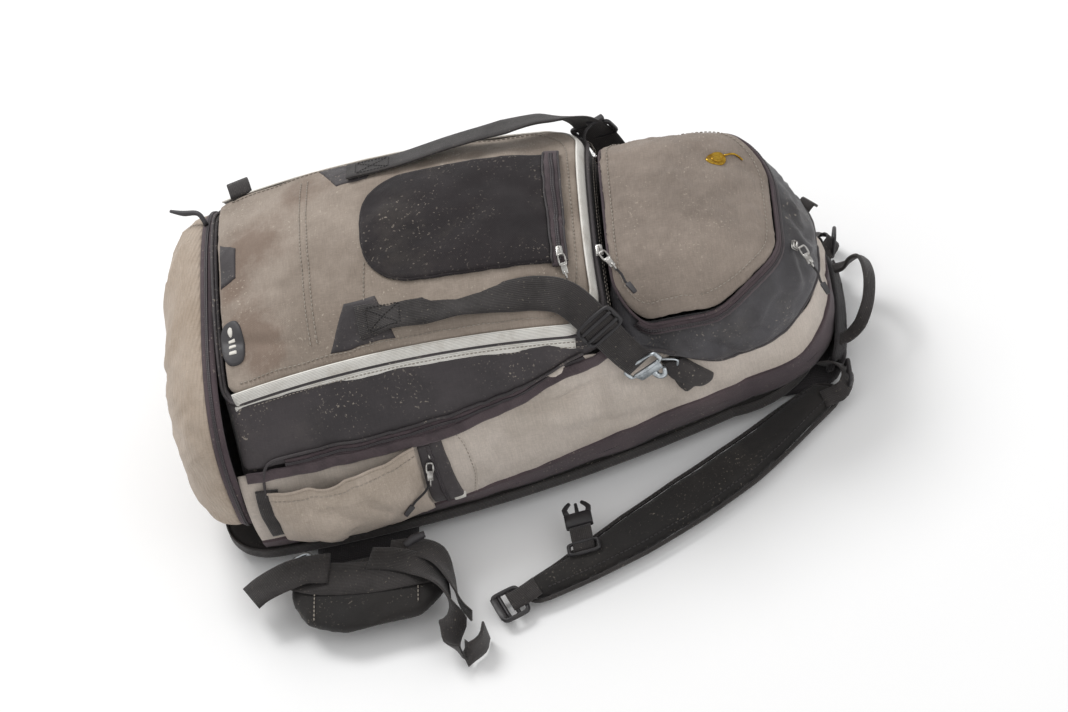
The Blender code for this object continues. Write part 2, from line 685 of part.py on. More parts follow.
def ski_strap_left():
    """The left strap is slack and arches clear of the flap before it reaches its hook."""
    point, normal = surface_point(flap_top, -0.112, 0.077, 0.0038)
    path = [point, (-0.070, 0.080, 0.2285), (-0.020, 0.085, 0.2320), (0.020, 0.090, 0.2315)]
    path += [(0.058, 0.099, 0.2250), (0.088, 0.1110, 0.2040)]
    path += [(0.100, 0.1185, 0.1750), (0.109, 0.1215, 0.1420)]
    normals = [normal, (-0.2, 0.4, 0.9), (-0.1, 0.4, 0.9), (0.0, 0.4, 0.9), (0.4, 0.4, 0.8)]
    normals += [(0.7, 0.6, 0.4), (0.4, 0.9, 0.2), (0.0, 0.97, 0.2)]
    pivot = tuple(point)
    finish_object("ski_strap_left", ribbon(path, normals, SKI_WEBBING, WEBBING_THICK), WEBBING, pivot)
    ski_hook("ski_hook_left", (0.1200, 0.1245, 0.1255), (0.0105, 0.0030, -0.0165), 1, pivot)


def ski_hook(name, centre, along, side, pivot):
    """The aluminium hook plate at a ski strap's end, with the slot that holds the webbing."""
    plate = slotted_plate(centre, along, (1.0, side * 0.1, 0.6), 0.024, 0.038, 0.0035, [(-0.009, -0.005)])
    finish_object(name, plate, ALUMINIUM, pivot)


# Shoulder straps


def strap_point(x, y, side):
    """A point of the shoulder strap's middle line, written for the right side."""
    return (x, y if side < 0 else -y, STRAP_ROOT[2])


def shoulder_straps():
    route = [(0.226, -0.108), (0.177, -0.145), (0.123, -0.178)]
    route += [(0.068, -0.208), (0.014, -0.2345), (-0.022, -0.249)]
    widths = [0.038, 0.046, 0.050, 0.048, 0.040, 0.030]
    for name, side in SIDES:
        path = [strap_point(x, y, side) for x, y in route]
        pivot = (STRAP_ROOT[0], side * -STRAP_ROOT[1], STRAP_ROOT[2])
        strap = ribbon(path, [(0, 0, 1)] * len(path), widths, STRAP_THICK)
        finish_object(f"shoulder_strap_{name}", strap, FOAM, pivot)
        tip, before = Vector(path[-1]), Vector(path[-2])
        along = (tip - before).normalized()
        across = (-along.y, along.x, 0)
        slots = [(-0.009, -0.003), (0.003, 0.009)]
        lock = slotted_plate(tip + along * 0.0150, along, across, 0.028, 0.034, 0.004, slots)
        finish_object(f"ladder_lock_{name}", lock, PLASTIC, pivot)


def sternum_buckles():
    """Both halves sit on the straps' inner edges and slide along them."""
    for half, side in (("male", -1), ("female", 1)):
        foot = Vector(strap_point(0.036, -0.2245, side))
        pack_side = Vector((0.0, -side, 0.0))
        centre = foot + pack_side * 0.035 + Vector((-0.004, 0.0, 0.012))
        block = bar(centre, pack_side + Vector((-0.1, 0.0, 0.0)), (1, 0, 0), 0.052, 0.022, 0.008)
        finish_object(f"sternum_buckle_{half}", block, PLASTIC, tuple(foot))


def trigger():
    """The airbag's pull handle and its sleeve, on top of the left shoulder strap."""
    near, far = Vector(strap_point(0.177, -0.145, 1)), Vector(strap_point(0.123, -0.178, 1))
    along = (far - near).normalized()
    across = (-along.y, along.x, 0)
    lift = Vector((0.0, 0.0, STRAP_THICK / 2 + 0.0075))
    sleeve = bar(near + along * 0.012 + lift, along, across, 0.060, 0.034, 0.014)
    finish_object("trigger_sleeve", sleeve, DARK_CLOTH, (STRAP_ROOT[0], -STRAP_ROOT[1], STRAP_ROOT[2]))
    handle = bar(near + along * 0.0575 + lift, along, across, 0.030, 0.030, 0.013)
    finish_object("trigger_handle", handle, TRIGGER_RED, tuple(near + along * 0.0575 + lift))


# Hip belt


def hip_belt():
    for name, side in SIDES:
        base = [(-0.205, 0.0615), (-0.110, 0.0615), (-0.110, 0.176), (-0.205, 0.176)]
        base = [(x, side * y) for x, y in base]
        finish_object(f"hip_base_{name}", prism(base, 0.0020, PAD_TOP - GAP), FOAM)
        pivot = (-0.155, side * WING_HINGE_Y, WING_HINGE_Z)
        wing = [(-0.216, 0.183), (-0.090, 0.183), (-0.082, 0.205), (-0.086, 0.236), (-0.108, 0.258)]
        wing += [(-0.180, 0.262), (-0.212, 0.246), (-0.226, 0.212)]
        wing = [(x, side * y) for x, y in wing]
        finish_object(f"hip_wing_{name}", prism(wing, 0.0155, 0.0330), FOAM, pivot)
        buckle = "female" if side < 0 else "male"
        low, high = sorted((side * 0.1950, side * 0.2300))
        block = box((-0.168, low, 0.0030), (-0.126, high, 0.0150))
        finish_object(f"hip_buckle_{buckle}", block, PLASTIC, pivot)


def adjuster_webbing():
    """Slack webbing from the hip wings to the ladder locks, looped on the floor."""
    right = [
        (-0.140, -0.198, 0.0360),
        (-0.108, -0.214, 0.0365),
        (-0.084, -0.240, 0.0380),
        (-0.080, -0.268, 0.0250),
        (-0.086, -0.292, 0.0150),
        (-0.074, -0.304, 0.0145),
        (-0.060, -0.296, 0.0145),
        (-0.056, -0.280, 0.0145),
    ]
    normals = [(0, 0, 1), (0, 0, 1), (0.1, 0, 1), (0.8, 0, 0.6)]
    normals += [(1, 0.2, 0), (0.2, 1, 0), (-0.6, 0.7, 0), (-1, 0, 0)]
    left = [(-0.140, 0.200, 0.0355), (-0.100, 0.218, 0.0355), (-0.066, 0.226, 0.0355)]
    for name, side, path, facing in (("right", -1, right, normals), ("left", 1, left, [(0, 0, 1)] * 3)):
        pivot = (-0.155, side * WING_HINGE_Y, WING_HINGE_Z)
        strip = ribbon(path, facing, ADJUSTER_WEBBING, WEBBING_THICK)
        finish_object(f"adjuster_webbing_{name}", strip, WEBBING, pivot)


# Zip sliders and their pull tabs


def zip_slider(name, point, normal, along, pull_along, length, pivot):
    """A slider block on a zip, and the pull tab that swings on its end."""
    point, normal, along = Vector(point), Vector(normal).normalized(), Vector(along).normalized()
    pull_along = Vector(pull_along).normalized()
    across = normal.cross(along)
    slider = bar(point + normal * 0.0022, along, across, 0.010, 0.007, 0.0035)
    finish_object(f"{name}_slider", slider, STEEL, pivot)
    hinge = point + normal * 0.0070 + pull_along * 0.005
    pull = bar(hinge + pull_along * length / 2, pull_along, normal.cross(pull_along), length, 0.006, 0.0018)
    finish_object(f"{name}_pull", pull, STEEL, tuple(hinge))


def arc_centre(x, height, reach):
    """The axis point of the arc through the height at y = -reach, 0 and reach."""
    low, middle, high = (Vector((y, height(x, y))) for y in (-reach, 0.0, reach))
    a, b = high - low, middle - low
    area = 2 * (a.x * b.y - a.y * b.x)
    u = (b.y * a.length_squared - a.y * b.length_squared) / area
    v = (a.x * b.length_squared - b.x * a.length_squared) / area
    return (x, low.x + u, low.y + v)


def zip_sliders():
    groove = Vector((0.0072, 0.0, -0.0045))
    point, normal = surface_point(flap_top, FLAP_X1 + 0.004, -0.046, 0.0)
    point = point + groove
    centre = tuple(Vector(arc_centre(FLAP_X1 + 0.004, flap_top, 0.046)) + groove)
    zip_slider("flap_zip", point, (0.0, -0.35, 1.0), (0, 1, 0.3), (0.5, -0.85, -0.3), 0.022, centre)
    tape_x = POCKET_X1 + 0.001 + POCKET_TAPE_WIDTH / 2
    point, normal = surface_point(flap_top, tape_x, -0.050, 0.0036)
    centre = arc_centre(tape_x, flap_top, 0.050)
    zip_slider("pocket_zip", point, normal, (0, 1, 0.3), (0.1, -1.0, -0.75), 0.012, centre)
    z = 0.100
    point = (-0.079, -bag_half(-0.079, z) - 0.0012, z)
    zip_slider("side_zip", point, (0, -1, 0.3), (0, 0.29, 0.96), (-0.2, -0.29, -0.94), 0.020, point)
    point = (0.2570, -0.030, 0.1400)
    zip_slider("top_zip", point, (1, 0, 0.8), (0, 1, 0), (0.35, -0.9, -0.4), 0.022, point)


def build():
    clear_scene()
    back_pads()
    frame()
    harness_yoke()
    haul_loop()
    airbag_system()
    main_compartment()
    back_zip_band()
    bottom_compartment()
    bottom_zip_band()
    tool_compartment()
    top_pocket_tray()
    side_pockets()
    hook_anchors()
    zip_tapes()
    front_flap()
    top_pocket_cover()
    ski_strap_right()
    ski_strap_left()
    shoulder_straps()
    sternum_buckles()
    trigger()
    hip_belt()
    adjuster_webbing()
    zip_sliders()


build()
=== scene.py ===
"""Looks of the ski-touring airbag backpack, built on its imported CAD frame.

X runs along the pack to its head end, +Z is its front and -Y the wearer's right. Sizes are in metres.
"""

import math

import bpy
import numpy as np
from mathutils import Matrix, Vector


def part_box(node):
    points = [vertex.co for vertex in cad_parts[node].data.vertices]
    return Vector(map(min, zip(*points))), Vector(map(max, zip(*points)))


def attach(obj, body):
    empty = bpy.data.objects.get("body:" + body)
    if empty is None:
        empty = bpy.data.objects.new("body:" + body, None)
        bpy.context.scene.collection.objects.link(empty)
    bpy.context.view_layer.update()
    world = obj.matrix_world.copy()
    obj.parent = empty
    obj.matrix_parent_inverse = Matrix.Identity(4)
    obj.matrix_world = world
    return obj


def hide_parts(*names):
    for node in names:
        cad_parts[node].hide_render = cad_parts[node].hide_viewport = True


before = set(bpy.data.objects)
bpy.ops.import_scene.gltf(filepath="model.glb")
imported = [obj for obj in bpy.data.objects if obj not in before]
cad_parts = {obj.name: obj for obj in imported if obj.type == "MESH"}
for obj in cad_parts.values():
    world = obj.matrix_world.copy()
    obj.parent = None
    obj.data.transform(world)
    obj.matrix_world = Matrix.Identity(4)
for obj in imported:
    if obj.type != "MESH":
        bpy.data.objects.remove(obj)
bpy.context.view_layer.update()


# Camera and light


def add_camera():
    """A long lens that looks down at the pack's front from its right side, tail end on the left."""
    lens, sensor, view_width, lift, shift = 200, 36, 0.942, 0.0255, -0.0044
    turn = Matrix.Rotation(math.radians(12), 4, "Z") @ Matrix.Rotation(math.radians(44), 4, "X")
    turn = turn @ Matrix.Rotation(math.radians(-20), 4, "Z")
    right, up, back = (turn @ Vector(axis) for axis in ((1, 0, 0), (0, 1, 0), (0, 0, 1)))
    data = bpy.data.cameras.new("camera")
    data.lens, data.sensor_width = lens, sensor
    camera = bpy.data.objects.new("camera", data)
    bpy.context.scene.collection.objects.link(camera)
    distance = view_width * lens / sensor
    camera.matrix_world = Matrix.Translation(right * shift + up * lift + back * distance) @ turn
    bpy.context.scene.camera = camera


def add_light(name, place, size, power):
    data = bpy.data.lights.new(name, "AREA")
    data.size, data.energy = size, power
    light = bpy.data.objects.new(name, data)
    bpy.context.scene.collection.objects.link(light)
    light.matrix_world = Matrix.Translation(
        Vector(place)
    ) @ Vector(place).to_track_quat("Z", "Y").to_matrix().to_4x4()


def add_studio():
    world = bpy.data.worlds.new("studio")
    bpy.context.scene.world = world
    world.use_nodes = True
    sky = world.node_tree.nodes["Background"]
    sky.inputs["Color"].default_value = (1.0, 1.0, 1.0, 1.0)
    sky.inputs["Strength"].default_value = 0.62
    add_light("key_light", (-0.9, 1.2, 2.0), 1.1, 34)
    add_light("fill_light", (1.6, -1.2, 1.4), 1.6, 9)
    bpy.context.scene.view_settings.view_transform = "Standard"


# Colours and materials


def srgb(red, green, blue):
    """A colour given as it looks on a screen, 0 to 255, turned into the shader's linear values."""
    channels = []
    for value in (red, green, blue):
        share = value / 255
        channels.append(share / 12.92 if share <= 0.04045 else ((share + 0.055) / 1.055) ** 2.4)
    return (*channels, 1.0)


class Look:
    """A material whose nodes are made by short calls; values may be numbers, colours or sockets."""

    def __init__(self, name):
        self.material = bpy.data.materials.new(name)
        self.material.use_nodes = True
        self.tree = self.material.node_tree
        self.shader = self.tree.nodes["Principled BSDF"]
        self.place = self.make("ShaderNodeTexCoord").outputs["Object"]
        self.height = None

    def make(self, kind, settings=None, **values):
        node = self.tree.nodes.new(kind)
        for name, value in (settings or {}).items():
            setattr(node, name, value)
        for name, value in values.items():
            self.feed(node.inputs[name.replace("_", " ")], value)
        return node

    def feed(self, socket, value):
        if isinstance(value, bpy.types.NodeSocket):
            self.tree.links.new(value, socket)
        else:
            socket.default_value = value

    def math(self, operation, first, second=0.0, clamp=False):
        node = self.make("ShaderNodeMath", {"operation": operation, "use_clamp": clamp})
        self.feed(node.inputs[0], first)
        self.feed(node.inputs[1], second)
        return node.outputs[0]

    def stretch(self, scale):
        """The object's coordinates, scaled differently along its axes."""
        return self.make("ShaderNodeMapping", Vector=self.place, Scale=scale).outputs[0]

    def noise(self, scale, detail=3.0, rough=0.55, place=None):
        node = self.make("ShaderNodeTexNoise", Scale=scale, Detail=detail, Roughness=rough)
        self.feed(node.inputs["Vector"], place or self.place)
        return node.outputs["Fac"]

    def band(self, value, low, high):
        """Turns a value into 0 at low and 1 at high."""
        node = self.make("ShaderNodeMapRange", {"interpolation_type": "SMOOTHSTEP"}, Value=value)
        node.inputs["From Min"].default_value = low
        node.inputs["From Max"].default_value = high
        return node.outputs[0]

    def mix(self, share, first, second):
        node = self.make("ShaderNodeMix", {"data_type": "RGBA"})
        self.feed(node.inputs[0], share)
        self.feed(node.inputs[6], first)
        self.feed(node.inputs[7], second)
        return node.outputs[2]

    def attribute(self, name):
        return self.make("ShaderNodeAttribute", {"attribute_name": name}).outputs["Fac"]

    def part(self, vector, axis):
        return self.make("ShaderNodeSeparateXYZ", Vector=vector).outputs[axis]

    def sine(self, value, period):
        return self.math("SINE", self.math("MULTIPLY", value, 2 * math.pi / period))

    def raise_by(self, height, metres):
        """Adds a relief of so many metres to what is already there."""
        part = self.math("MULTIPLY", height, metres)
        self.height = part if self.height is None else self.math("ADD", self.height, part)

    def finish(self, colour, roughness, metallic=0.0, sheen=0.0, coat=0.0):
        self.feed(self.shader.inputs["Base Color"], colour)
        self.feed(self.shader.inputs["Roughness"], roughness)
        self.shader.inputs["Metallic"].default_value = metallic
        self.shader.inputs["Sheen Weight"].default_value = sheen
        self.shader.inputs["Coat Weight"].default_value = coat
        if self.height is not None:
            bump = self.make("ShaderNodeBump", Distance=1.0, Strength=1.0, Height=self.height)
            self.feed(self.shader.inputs["Normal"], bump.outputs[0])
        return self.material


def cloth(
    name, base, shade, weave=0.0011, dust=0.25, stain=0.0, crinkle=0.0005, roughness=0.85, sheen=0.1,
    ribs=0.0,
):
    """Woven cloth: mottled colour, thread streaks, pale dust and, where marked, mud and rust stains."""
    look = Look(name)
    x = look.part(look.place, 0)
    y, z = look.part(look.place, 1), look.part(look.place, 2)
    up = look.math("SUBTRACT", z, y)
    warp, weft = look.sine(x, weave), look.sine(up, weave)
    threads = look.math("MULTIPLY", warp, weft)
    colour = look.mix(look.band(look.noise(13.0, 6.0, 0.62), 0.34, 0.68), base, shade)
    streaks = look.noise(1.0, 2.0, 0.5, look.stretch((140, 1500, 1500)))
    other = look.noise(1.0, 2.0, 0.5, look.stretch((1500, 120, 120)))
    tone = look.math("ADD", look.math("MULTIPLY", streaks, 0.5), look.math("MULTIPLY", other, 0.5))
    colour = look.mix(look.band(tone, 0.38, 0.64), look.mix(0.16, colour, (0, 0, 0, 1)), colour)
    if stain:
        mark = look.math("MULTIPLY", look.attribute("grime"), look.noise(55.0, 7.0, 0.72))
        colour = look.mix(
            look.math("MULTIPLY", look.band(mark, 0.16, 0.52), stain), colour, srgb(104, 80, 64),
        )
        mark = look.band(look.noise(24.0, 9.0, 0.78), 0.60, 0.76)
        colour = look.mix(look.math("MULTIPLY", mark, stain * 0.55), colour, srgb(104, 90, 78))
    specks = look.band(look.noise(420.0, 2.0, 0.5), 0.62, 0.72)
    cloud = look.band(look.noise(19.0, 4.0, 0.6), 0.42, 0.66)
    amount = look.math("MULTIPLY", look.math("MULTIPLY", specks, cloud), min(1.0, 2.2 * dust))
    haze = look.math("MULTIPLY", look.band(look.noise(9.0, 6.0, 0.7), 0.50, 0.74), dust * 0.22)
    colour = look.mix(look.math("ADD", amount, haze, clamp=True), colour, srgb(196, 184, 168))
    look.raise_by(threads, 0.00006)
    look.raise_by(look.noise(70.0, 6.0, 0.62), crinkle)
    if ribs:
        look.raise_by(look.sine(look.math("ADD", x, look.math("MULTIPLY", up, 0.3)), ribs), 0.00018)
    rough = look.math("ADD", look.math("MULTIPLY", look.noise(60.0), 0.16), roughness - 0.08)
    return look.finish(colour, rough, sheen=sheen)


def tape_cloth(name, base, shade, pitch=0.0016, dust=0.3, roughness=0.8):
    """Webbing and zip tape: ribs along the strip and fine cross threads."""
    look = Look(name)
    across, along = look.attribute("across"), look.attribute("along")
    ribs = look.sine(across, pitch)
    picks = look.sine(along, pitch * 0.8)
    worn = look.band(look.noise(38.0, 6.0, 0.7), 0.42, 0.72)
    colour = look.mix(worn, base, shade)
    # Painted shade: the colour is darkened in the grooves between the ribs, where the relief is low.
    colour = look.mix(look.band(ribs, -0.6, 0.9), look.mix(0.35, colour, (0, 0, 0, 1)), colour)
    specks = look.band(look.noise(520.0, 2.0), 0.64, 0.78)
    colour = look.mix(look.math("MULTIPLY", specks, dust), colour, srgb(190, 178, 160))
    look.raise_by(ribs, 0.00012)
    look.raise_by(picks, 0.00006)
    look.raise_by(look.noise(160.0, 4.0), 0.0002)
    return look.finish(
        colour, look.math("ADD", look.math("MULTIPLY", worn, 0.12), roughness - 0.06), sheen=0.15,
    )


def mesh_cloth(name, base, shade, pitch=0.0034):
    """Spacer mesh over foam: a grid of small round holes."""
    look = Look(name)
    x = look.part(look.place, 0)
    up = look.math("SUBTRACT", look.part(look.place, 2), look.part(look.place, 1))
    first = look.sine(look.math("ADD", x, up), pitch)
    second = look.sine(look.math("SUBTRACT", x, up), pitch)
    holes = look.band(look.math("MULTIPLY", first, second), 0.1, 0.6)
    colour = look.mix(look.band(look.noise(22.0, 5.0, 0.6), 0.35, 0.7), base, shade)
    # Painted shade: the holes are coloured near black, as the shade inside them looks.
    colour = look.mix(look.math("MULTIPLY", holes, 0.7), colour, (0.004, 0.004, 0.004, 1))
    specks = look.band(look.noise(380.0, 2.0), 0.67, 0.8)
    colour = look.mix(look.math("MULTIPLY", specks, 0.3), colour, srgb(170, 160, 148))
    look.raise_by(holes, -0.0004)
    look.raise_by(look.noise(45.0, 5.0, 0.6), 0.0006)
    return look.finish(
        colour, look.math("ADD", look.math("MULTIPLY", look.noise(60.0), 0.15), 0.8), sheen=0.12,
    )


def plastic(name, base, shade, roughness=0.42, grain=0.00006):
    """Moulded plastic: fine spark texture, scuffs and a little dust."""
    look = Look(name)
    scuffs = look.band(look.noise(1.0, 6.0, 0.75, look.stretch((90, 240, 420))), 0.52, 0.70)
    colour = look.mix(look.math("MULTIPLY", scuffs, 0.6), base, shade)
    look.raise_by(look.noise(1500.0, 2.0), grain)
    look.raise_by(scuffs, -0.00003)
    return look.finish(colour, look.math("ADD", look.math("MULTIPLY", scuffs, 0.28), roughness))


def metal(name, base, shade, roughness=0.3, brush=(30, 900, 900)):
    """Brushed metal with worn, duller patches."""
    look = Look(name)
    lines = look.noise(1.0, 3.0, 0.6, look.stretch(brush))
    worn = look.band(look.noise(120.0, 5.0, 0.65), 0.42, 0.66)
    colour = look.mix(worn, base, shade)
    look.raise_by(lines, 0.00005)
    rough = look.math("ADD", look.math("MULTIPLY", lines, 0.18), look.math("MULTIPLY", worn, 0.16))
    return look.finish(colour, look.math("ADD", rough, roughness - 0.1), metallic=1.0)


def paint(name, base, shade):
    """Glossy paint with chips and faint orange peel."""
    look = Look(name)
    chips = look.band(look.noise(90.0, 8.0, 0.75), 0.62, 0.70)
    colour = look.mix(chips, base, shade)
    look.raise_by(look.noise(300.0, 2.0), 0.00008)
    look.raise_by(chips, -0.0001)
    return look.finish(colour, look.math("ADD", look.math("MULTIPLY", chips, 0.4), 0.28), coat=0.4)


TAUPE = cloth("taupe_cloth", srgb(162, 149, 137), srgb(140, 127, 115), dust=0.35, stain=0.55)
CLEAN_TAUPE = cloth("clean_taupe_cloth", srgb(152, 139, 128), srgb(131, 119, 109), dust=0.2, stain=0.25)
SAND = cloth("sand_cloth", srgb(206, 195, 185), srgb(188, 177, 166), weave=0.0009, dust=0.1, stain=0.15)
BOTTOM = cloth("bottom_cloth", srgb(186, 171, 156), srgb(167, 150, 133), dust=0.2, stain=0.3, ribs=0.0042)
DARK = cloth("dark_cloth", srgb(66, 60, 62), srgb(50, 45, 47), dust=0.22, crinkle=0.0009, roughness=0.62)
GREY_BLACK = cloth(
    "ripstop_cloth", srgb(74, 72, 76), srgb(52, 49, 51), dust=0.2, crinkle=0.0012, roughness=0.5,
)
STRETCH = cloth(
    "stretch_cloth", srgb(40, 34, 36), srgb(31, 26, 28), weave=0.0016, dust=0.22, roughness=0.95,
)
LINING = cloth("lining_cloth", srgb(92, 92, 96), srgb(74, 74, 78), dust=0.05, roughness=0.7)
PLUM = cloth("plum_cloth", srgb(86, 72, 76), srgb(68, 57, 62), weave=0.0014, dust=0.15, crinkle=0.0004)
PADDING = mesh_cloth("harness_mesh", srgb(44, 40, 42), srgb(33, 30, 32))
PAD_CLOTH = cloth(
    "harness_cloth", srgb(34, 30, 28), srgb(25, 22, 21), dust=0.15, crinkle=0.0007, roughness=0.85,
)
WEBBING = tape_cloth("webbing", srgb(50, 45, 44), srgb(38, 34, 33))
PLUM_TAPE = tape_cloth("plum_tape", srgb(88, 74, 78), srgb(70, 59, 63), pitch=0.0011, dust=0.15)
WHITE_TAPE = tape_cloth("white_tape", srgb(246, 243, 236), srgb(220, 214, 204), pitch=0.0013, dust=0.1)
THREAD = tape_cloth("thread", srgb(40, 36, 38), srgb(60, 54, 54), pitch=0.0006)
PALE_THREAD = tape_cloth("pale_thread", srgb(176, 166, 154), srgb(150, 140, 128), pitch=0.0006)
ZIP_TEETH = plastic("zip_teeth", srgb(52, 46, 49), srgb(90, 82, 82), roughness=0.4)
PLASTIC = plastic("buckle_plastic", srgb(40, 38, 40), srgb(74, 70, 68))
SHEET_PLASTIC = plastic("sheet_plastic", srgb(206, 204, 198), srgb(176, 172, 166), roughness=0.5)
RED_PLASTIC = plastic("trigger_plastic", srgb(206, 62, 44), srgb(150, 40, 30), roughness=0.35)
HOSE = plastic("hose_plastic", srgb(44, 43, 45), srgb(80, 78, 78), roughness=0.6, grain=0.0002)
ALUMINIUM = metal("aluminium", srgb(196, 202, 206), srgb(150, 156, 160), roughness=0.34)
STEEL = metal("zip_metal", srgb(206, 204, 200), srgb(138, 134, 130), roughness=0.3, brush=(600, 600, 200))
GOLD = metal("gold_metal", srgb(196, 158, 62), srgb(150, 112, 40), roughness=0.3)
ORANGE = cloth(
    "airbag_cloth", srgb(232, 116, 48), srgb(206, 92, 34), weave=0.0007, dust=0.0, roughness=0.5,
)
CYLINDER = paint("cylinder_paint", srgb(226, 168, 72), srgb(150, 130, 110))
POCKET = cloth("pocket_cloth", srgb(192, 178, 165), srgb(172, 158, 144), dust=0.3, stain=0.5)
WEBBING_CLOTH = cloth("webbing_cloth", srgb(66, 62, 62), srgb(50, 46, 46), weave=0.0018, dust=0.3)
LABEL = plastic("label_rubber", srgb(58, 56, 58), srgb(84, 80, 80), roughness=0.55)
PALE_MARK = plastic("pale_mark", srgb(226, 222, 214), srgb(190, 184, 176), roughness=0.6)


# Mesh building

UP = (0.0, 0.0, 1.0)


def add_mesh(name, points, faces, material, smooth=True):
    mesh = bpy.data.meshes.new(name)
    mesh.from_pydata([tuple(map(float, point)) for point in points], [], faces)
    mesh.polygons.foreach_set("use_smooth", [smooth] * len(faces))
    mesh.materials.append(material)
    obj = bpy.data.objects.new(name, mesh)
    bpy.context.scene.collection.objects.link(obj)
    return obj


def set_values(obj, name, values):
    """Stores one number per point, for the material to read."""
    data = obj.data.attributes.new(name, "FLOAT", "POINT").data
    data.foreach_set("value", np.asarray(values, dtype=float).ravel())


def grid_faces(rows, columns, start=0, wrap=False, flip=False):
    """Quads over a grid of points stored row by row; wrap joins the last column to the first."""
    faces = []
    for i in range(rows - 1):
        for j in range(columns if wrap else columns - 1):
            k = (j + 1) % columns
            low, high = start + i * columns, start + (i + 1) * columns
            face = (low + j, low + k, high + k, high + j)
            faces.append(face[::-1] if flip else face)
    return faces


def grid_normals(points, wrap=False):
    """Unit normals of a grid of points; rows run along the first axis."""
    along = np.gradient(points, axis=0)
    if wrap:
        across = np.roll(points, -1, axis=1) - np.roll(points, 1, axis=1)
    else:
        across = np.gradient(points, axis=1)
    normals = np.cross(along, across)
    length = np.linalg.norm(normals, axis=2, keepdims=True)
    return normals / np.maximum(length, 1e-12)


def solid(name, rings, material, flip=False, caps=True):
    """A body from a row of closed rings, with a flat cap at each end unless they already close."""
    rows, columns = rings.shape[:2]
    faces = grid_faces(rows, columns, 0, wrap=True, flip=flip)
    if caps:
        first = tuple(range(columns))
        last = tuple((rows - 1) * columns + j for j in range(columns))
        faces += [first, last[::-1]] if flip else [first[::-1], last]
    return add_mesh(name, rings.reshape(-1, 3), faces, material)


def skin(name, outer, inner, material, wrap=False, flip=False):
    """A closed body between two grids of points, such as the two faces of a sheet."""
    rows, columns = outer.shape[:2]
    points = np.concatenate([outer.reshape(-1, 3), inner.reshape(-1, 3)])
    size = rows * columns
    faces = grid_faces(rows, columns, 0, wrap, not flip) + grid_faces(rows, columns, size, wrap, flip)
    rims = [[(0, j) for j in range(columns)], [(rows - 1, j) for j in range(columns)][::-1]]
    if wrap:
        rims = [rim + rim[:1] for rim in rims]
    else:
        rims.append([(i, columns - 1) for i in range(rows)])
        rims.append([(i, 0) for i in range(rows)][::-1])
    for rim in rims:
        for (i, j), (k, m) in zip(rim, rim[1:]):
            a, b = i * columns + j, k * columns + m
            face = (a, b, b + size, a + size)
            faces.append(face[::-1] if flip else face)
    return add_mesh(name, points, faces, material)


def sheet(name, outer, thick, material, wrap=False, flip=False):
    """A sheet of one thickness, given by its outer face."""
    normals = grid_normals(outer, wrap) * (-1 if flip else 1)
    return skin(name, outer, outer - normals * thick, material, wrap, flip)


def smooth_path(points, step=0.004):
    """A Catmull-Rom curve through the points, read off about every step."""
    points = [np.array(point, dtype=float) for point in points]
    padded = [2 * points[0] - points[1]] + points + [2 * points[-1] - points[-2]]
    samples = []
    for a, b, c, d in zip(padded, padded[1:], padded[2:], padded[3:]):
        count = max(2, int(np.linalg.norm(c - b) / step))
        for i in range(count):
            t = i / count
            samples.append(
                0.5 * (
                    2 * b + (c - a) * t + (
                        2 * a - 5 * b + 4 * c - d
                    ) * t**2 + (3 * b - a - 3 * c + d) * t**3
                )
            )
    samples.append(points[-1])
    return np.array(samples)


def run_along(line):
    """Distance run along a line of points, from its start."""
    return np.concatenate([[0], np.cumsum(np.linalg.norm(np.diff(line, axis=0), axis=1))])


def rise(height):
    """A vertical offset."""
    return np.array([0, 0, height])


def unit(vectors):
    vectors = np.asarray(vectors, dtype=float)
    return vectors / np.maximum(np.linalg.norm(vectors, axis=-1, keepdims=True), 1e-12)


def spread(values, count):
    """Evenly reads count rows off a list of vectors."""
    values = np.asarray(values, dtype=float)
    places = np.linspace(0, len(values) - 1, count)
    return np.stack(
        [np.interp(places, range(len(values)), values[:, k]) for k in range(values.shape[1])], axis=1,
    )


def strip(name, path, normals, width, thick, material, step=0.004, crown=0.0):
    """A strap with round edges along a smooth curve; width may change along it."""
    line = smooth_path(path, step)
    facing = unit(spread(normals, len(line)))
    widths = np.interp(
        np.linspace(0, 1, len(line)), np.linspace(0, 1, len(np.atleast_1d(width))), np.atleast_1d(width),
    )
    tangent = unit(np.gradient(line, axis=0))
    across = unit(np.cross(facing, tangent))
    up = np.cross(tangent, across)
    profile = [
        (-1, 0), (-0.94, 0.5), (-0.5, 0.5), (0, 0.5), (0.5, 0.5), (0.94, 0.5), (1, 0), (0.94, -0.5),
        (0.5, -0.5), (0, -0.5), (-0.5, -0.5), (-0.94, -0.5),
    ]
    length = run_along(line)
    rings, sides = [], []
    for side, height in profile:
        lift = height * thick + crown * (1 - side**2)
        rings.append(line + across * (widths * side / 2)[:, None] + up * lift)
        sides.append(widths * side / 2)
    points = np.stack(rings, axis=1)
    obj = solid(name, points, material)
    set_values(obj, "across", np.stack(sides, axis=1))
    set_values(obj, "along", np.repeat(length, len(profile)))
    return obj


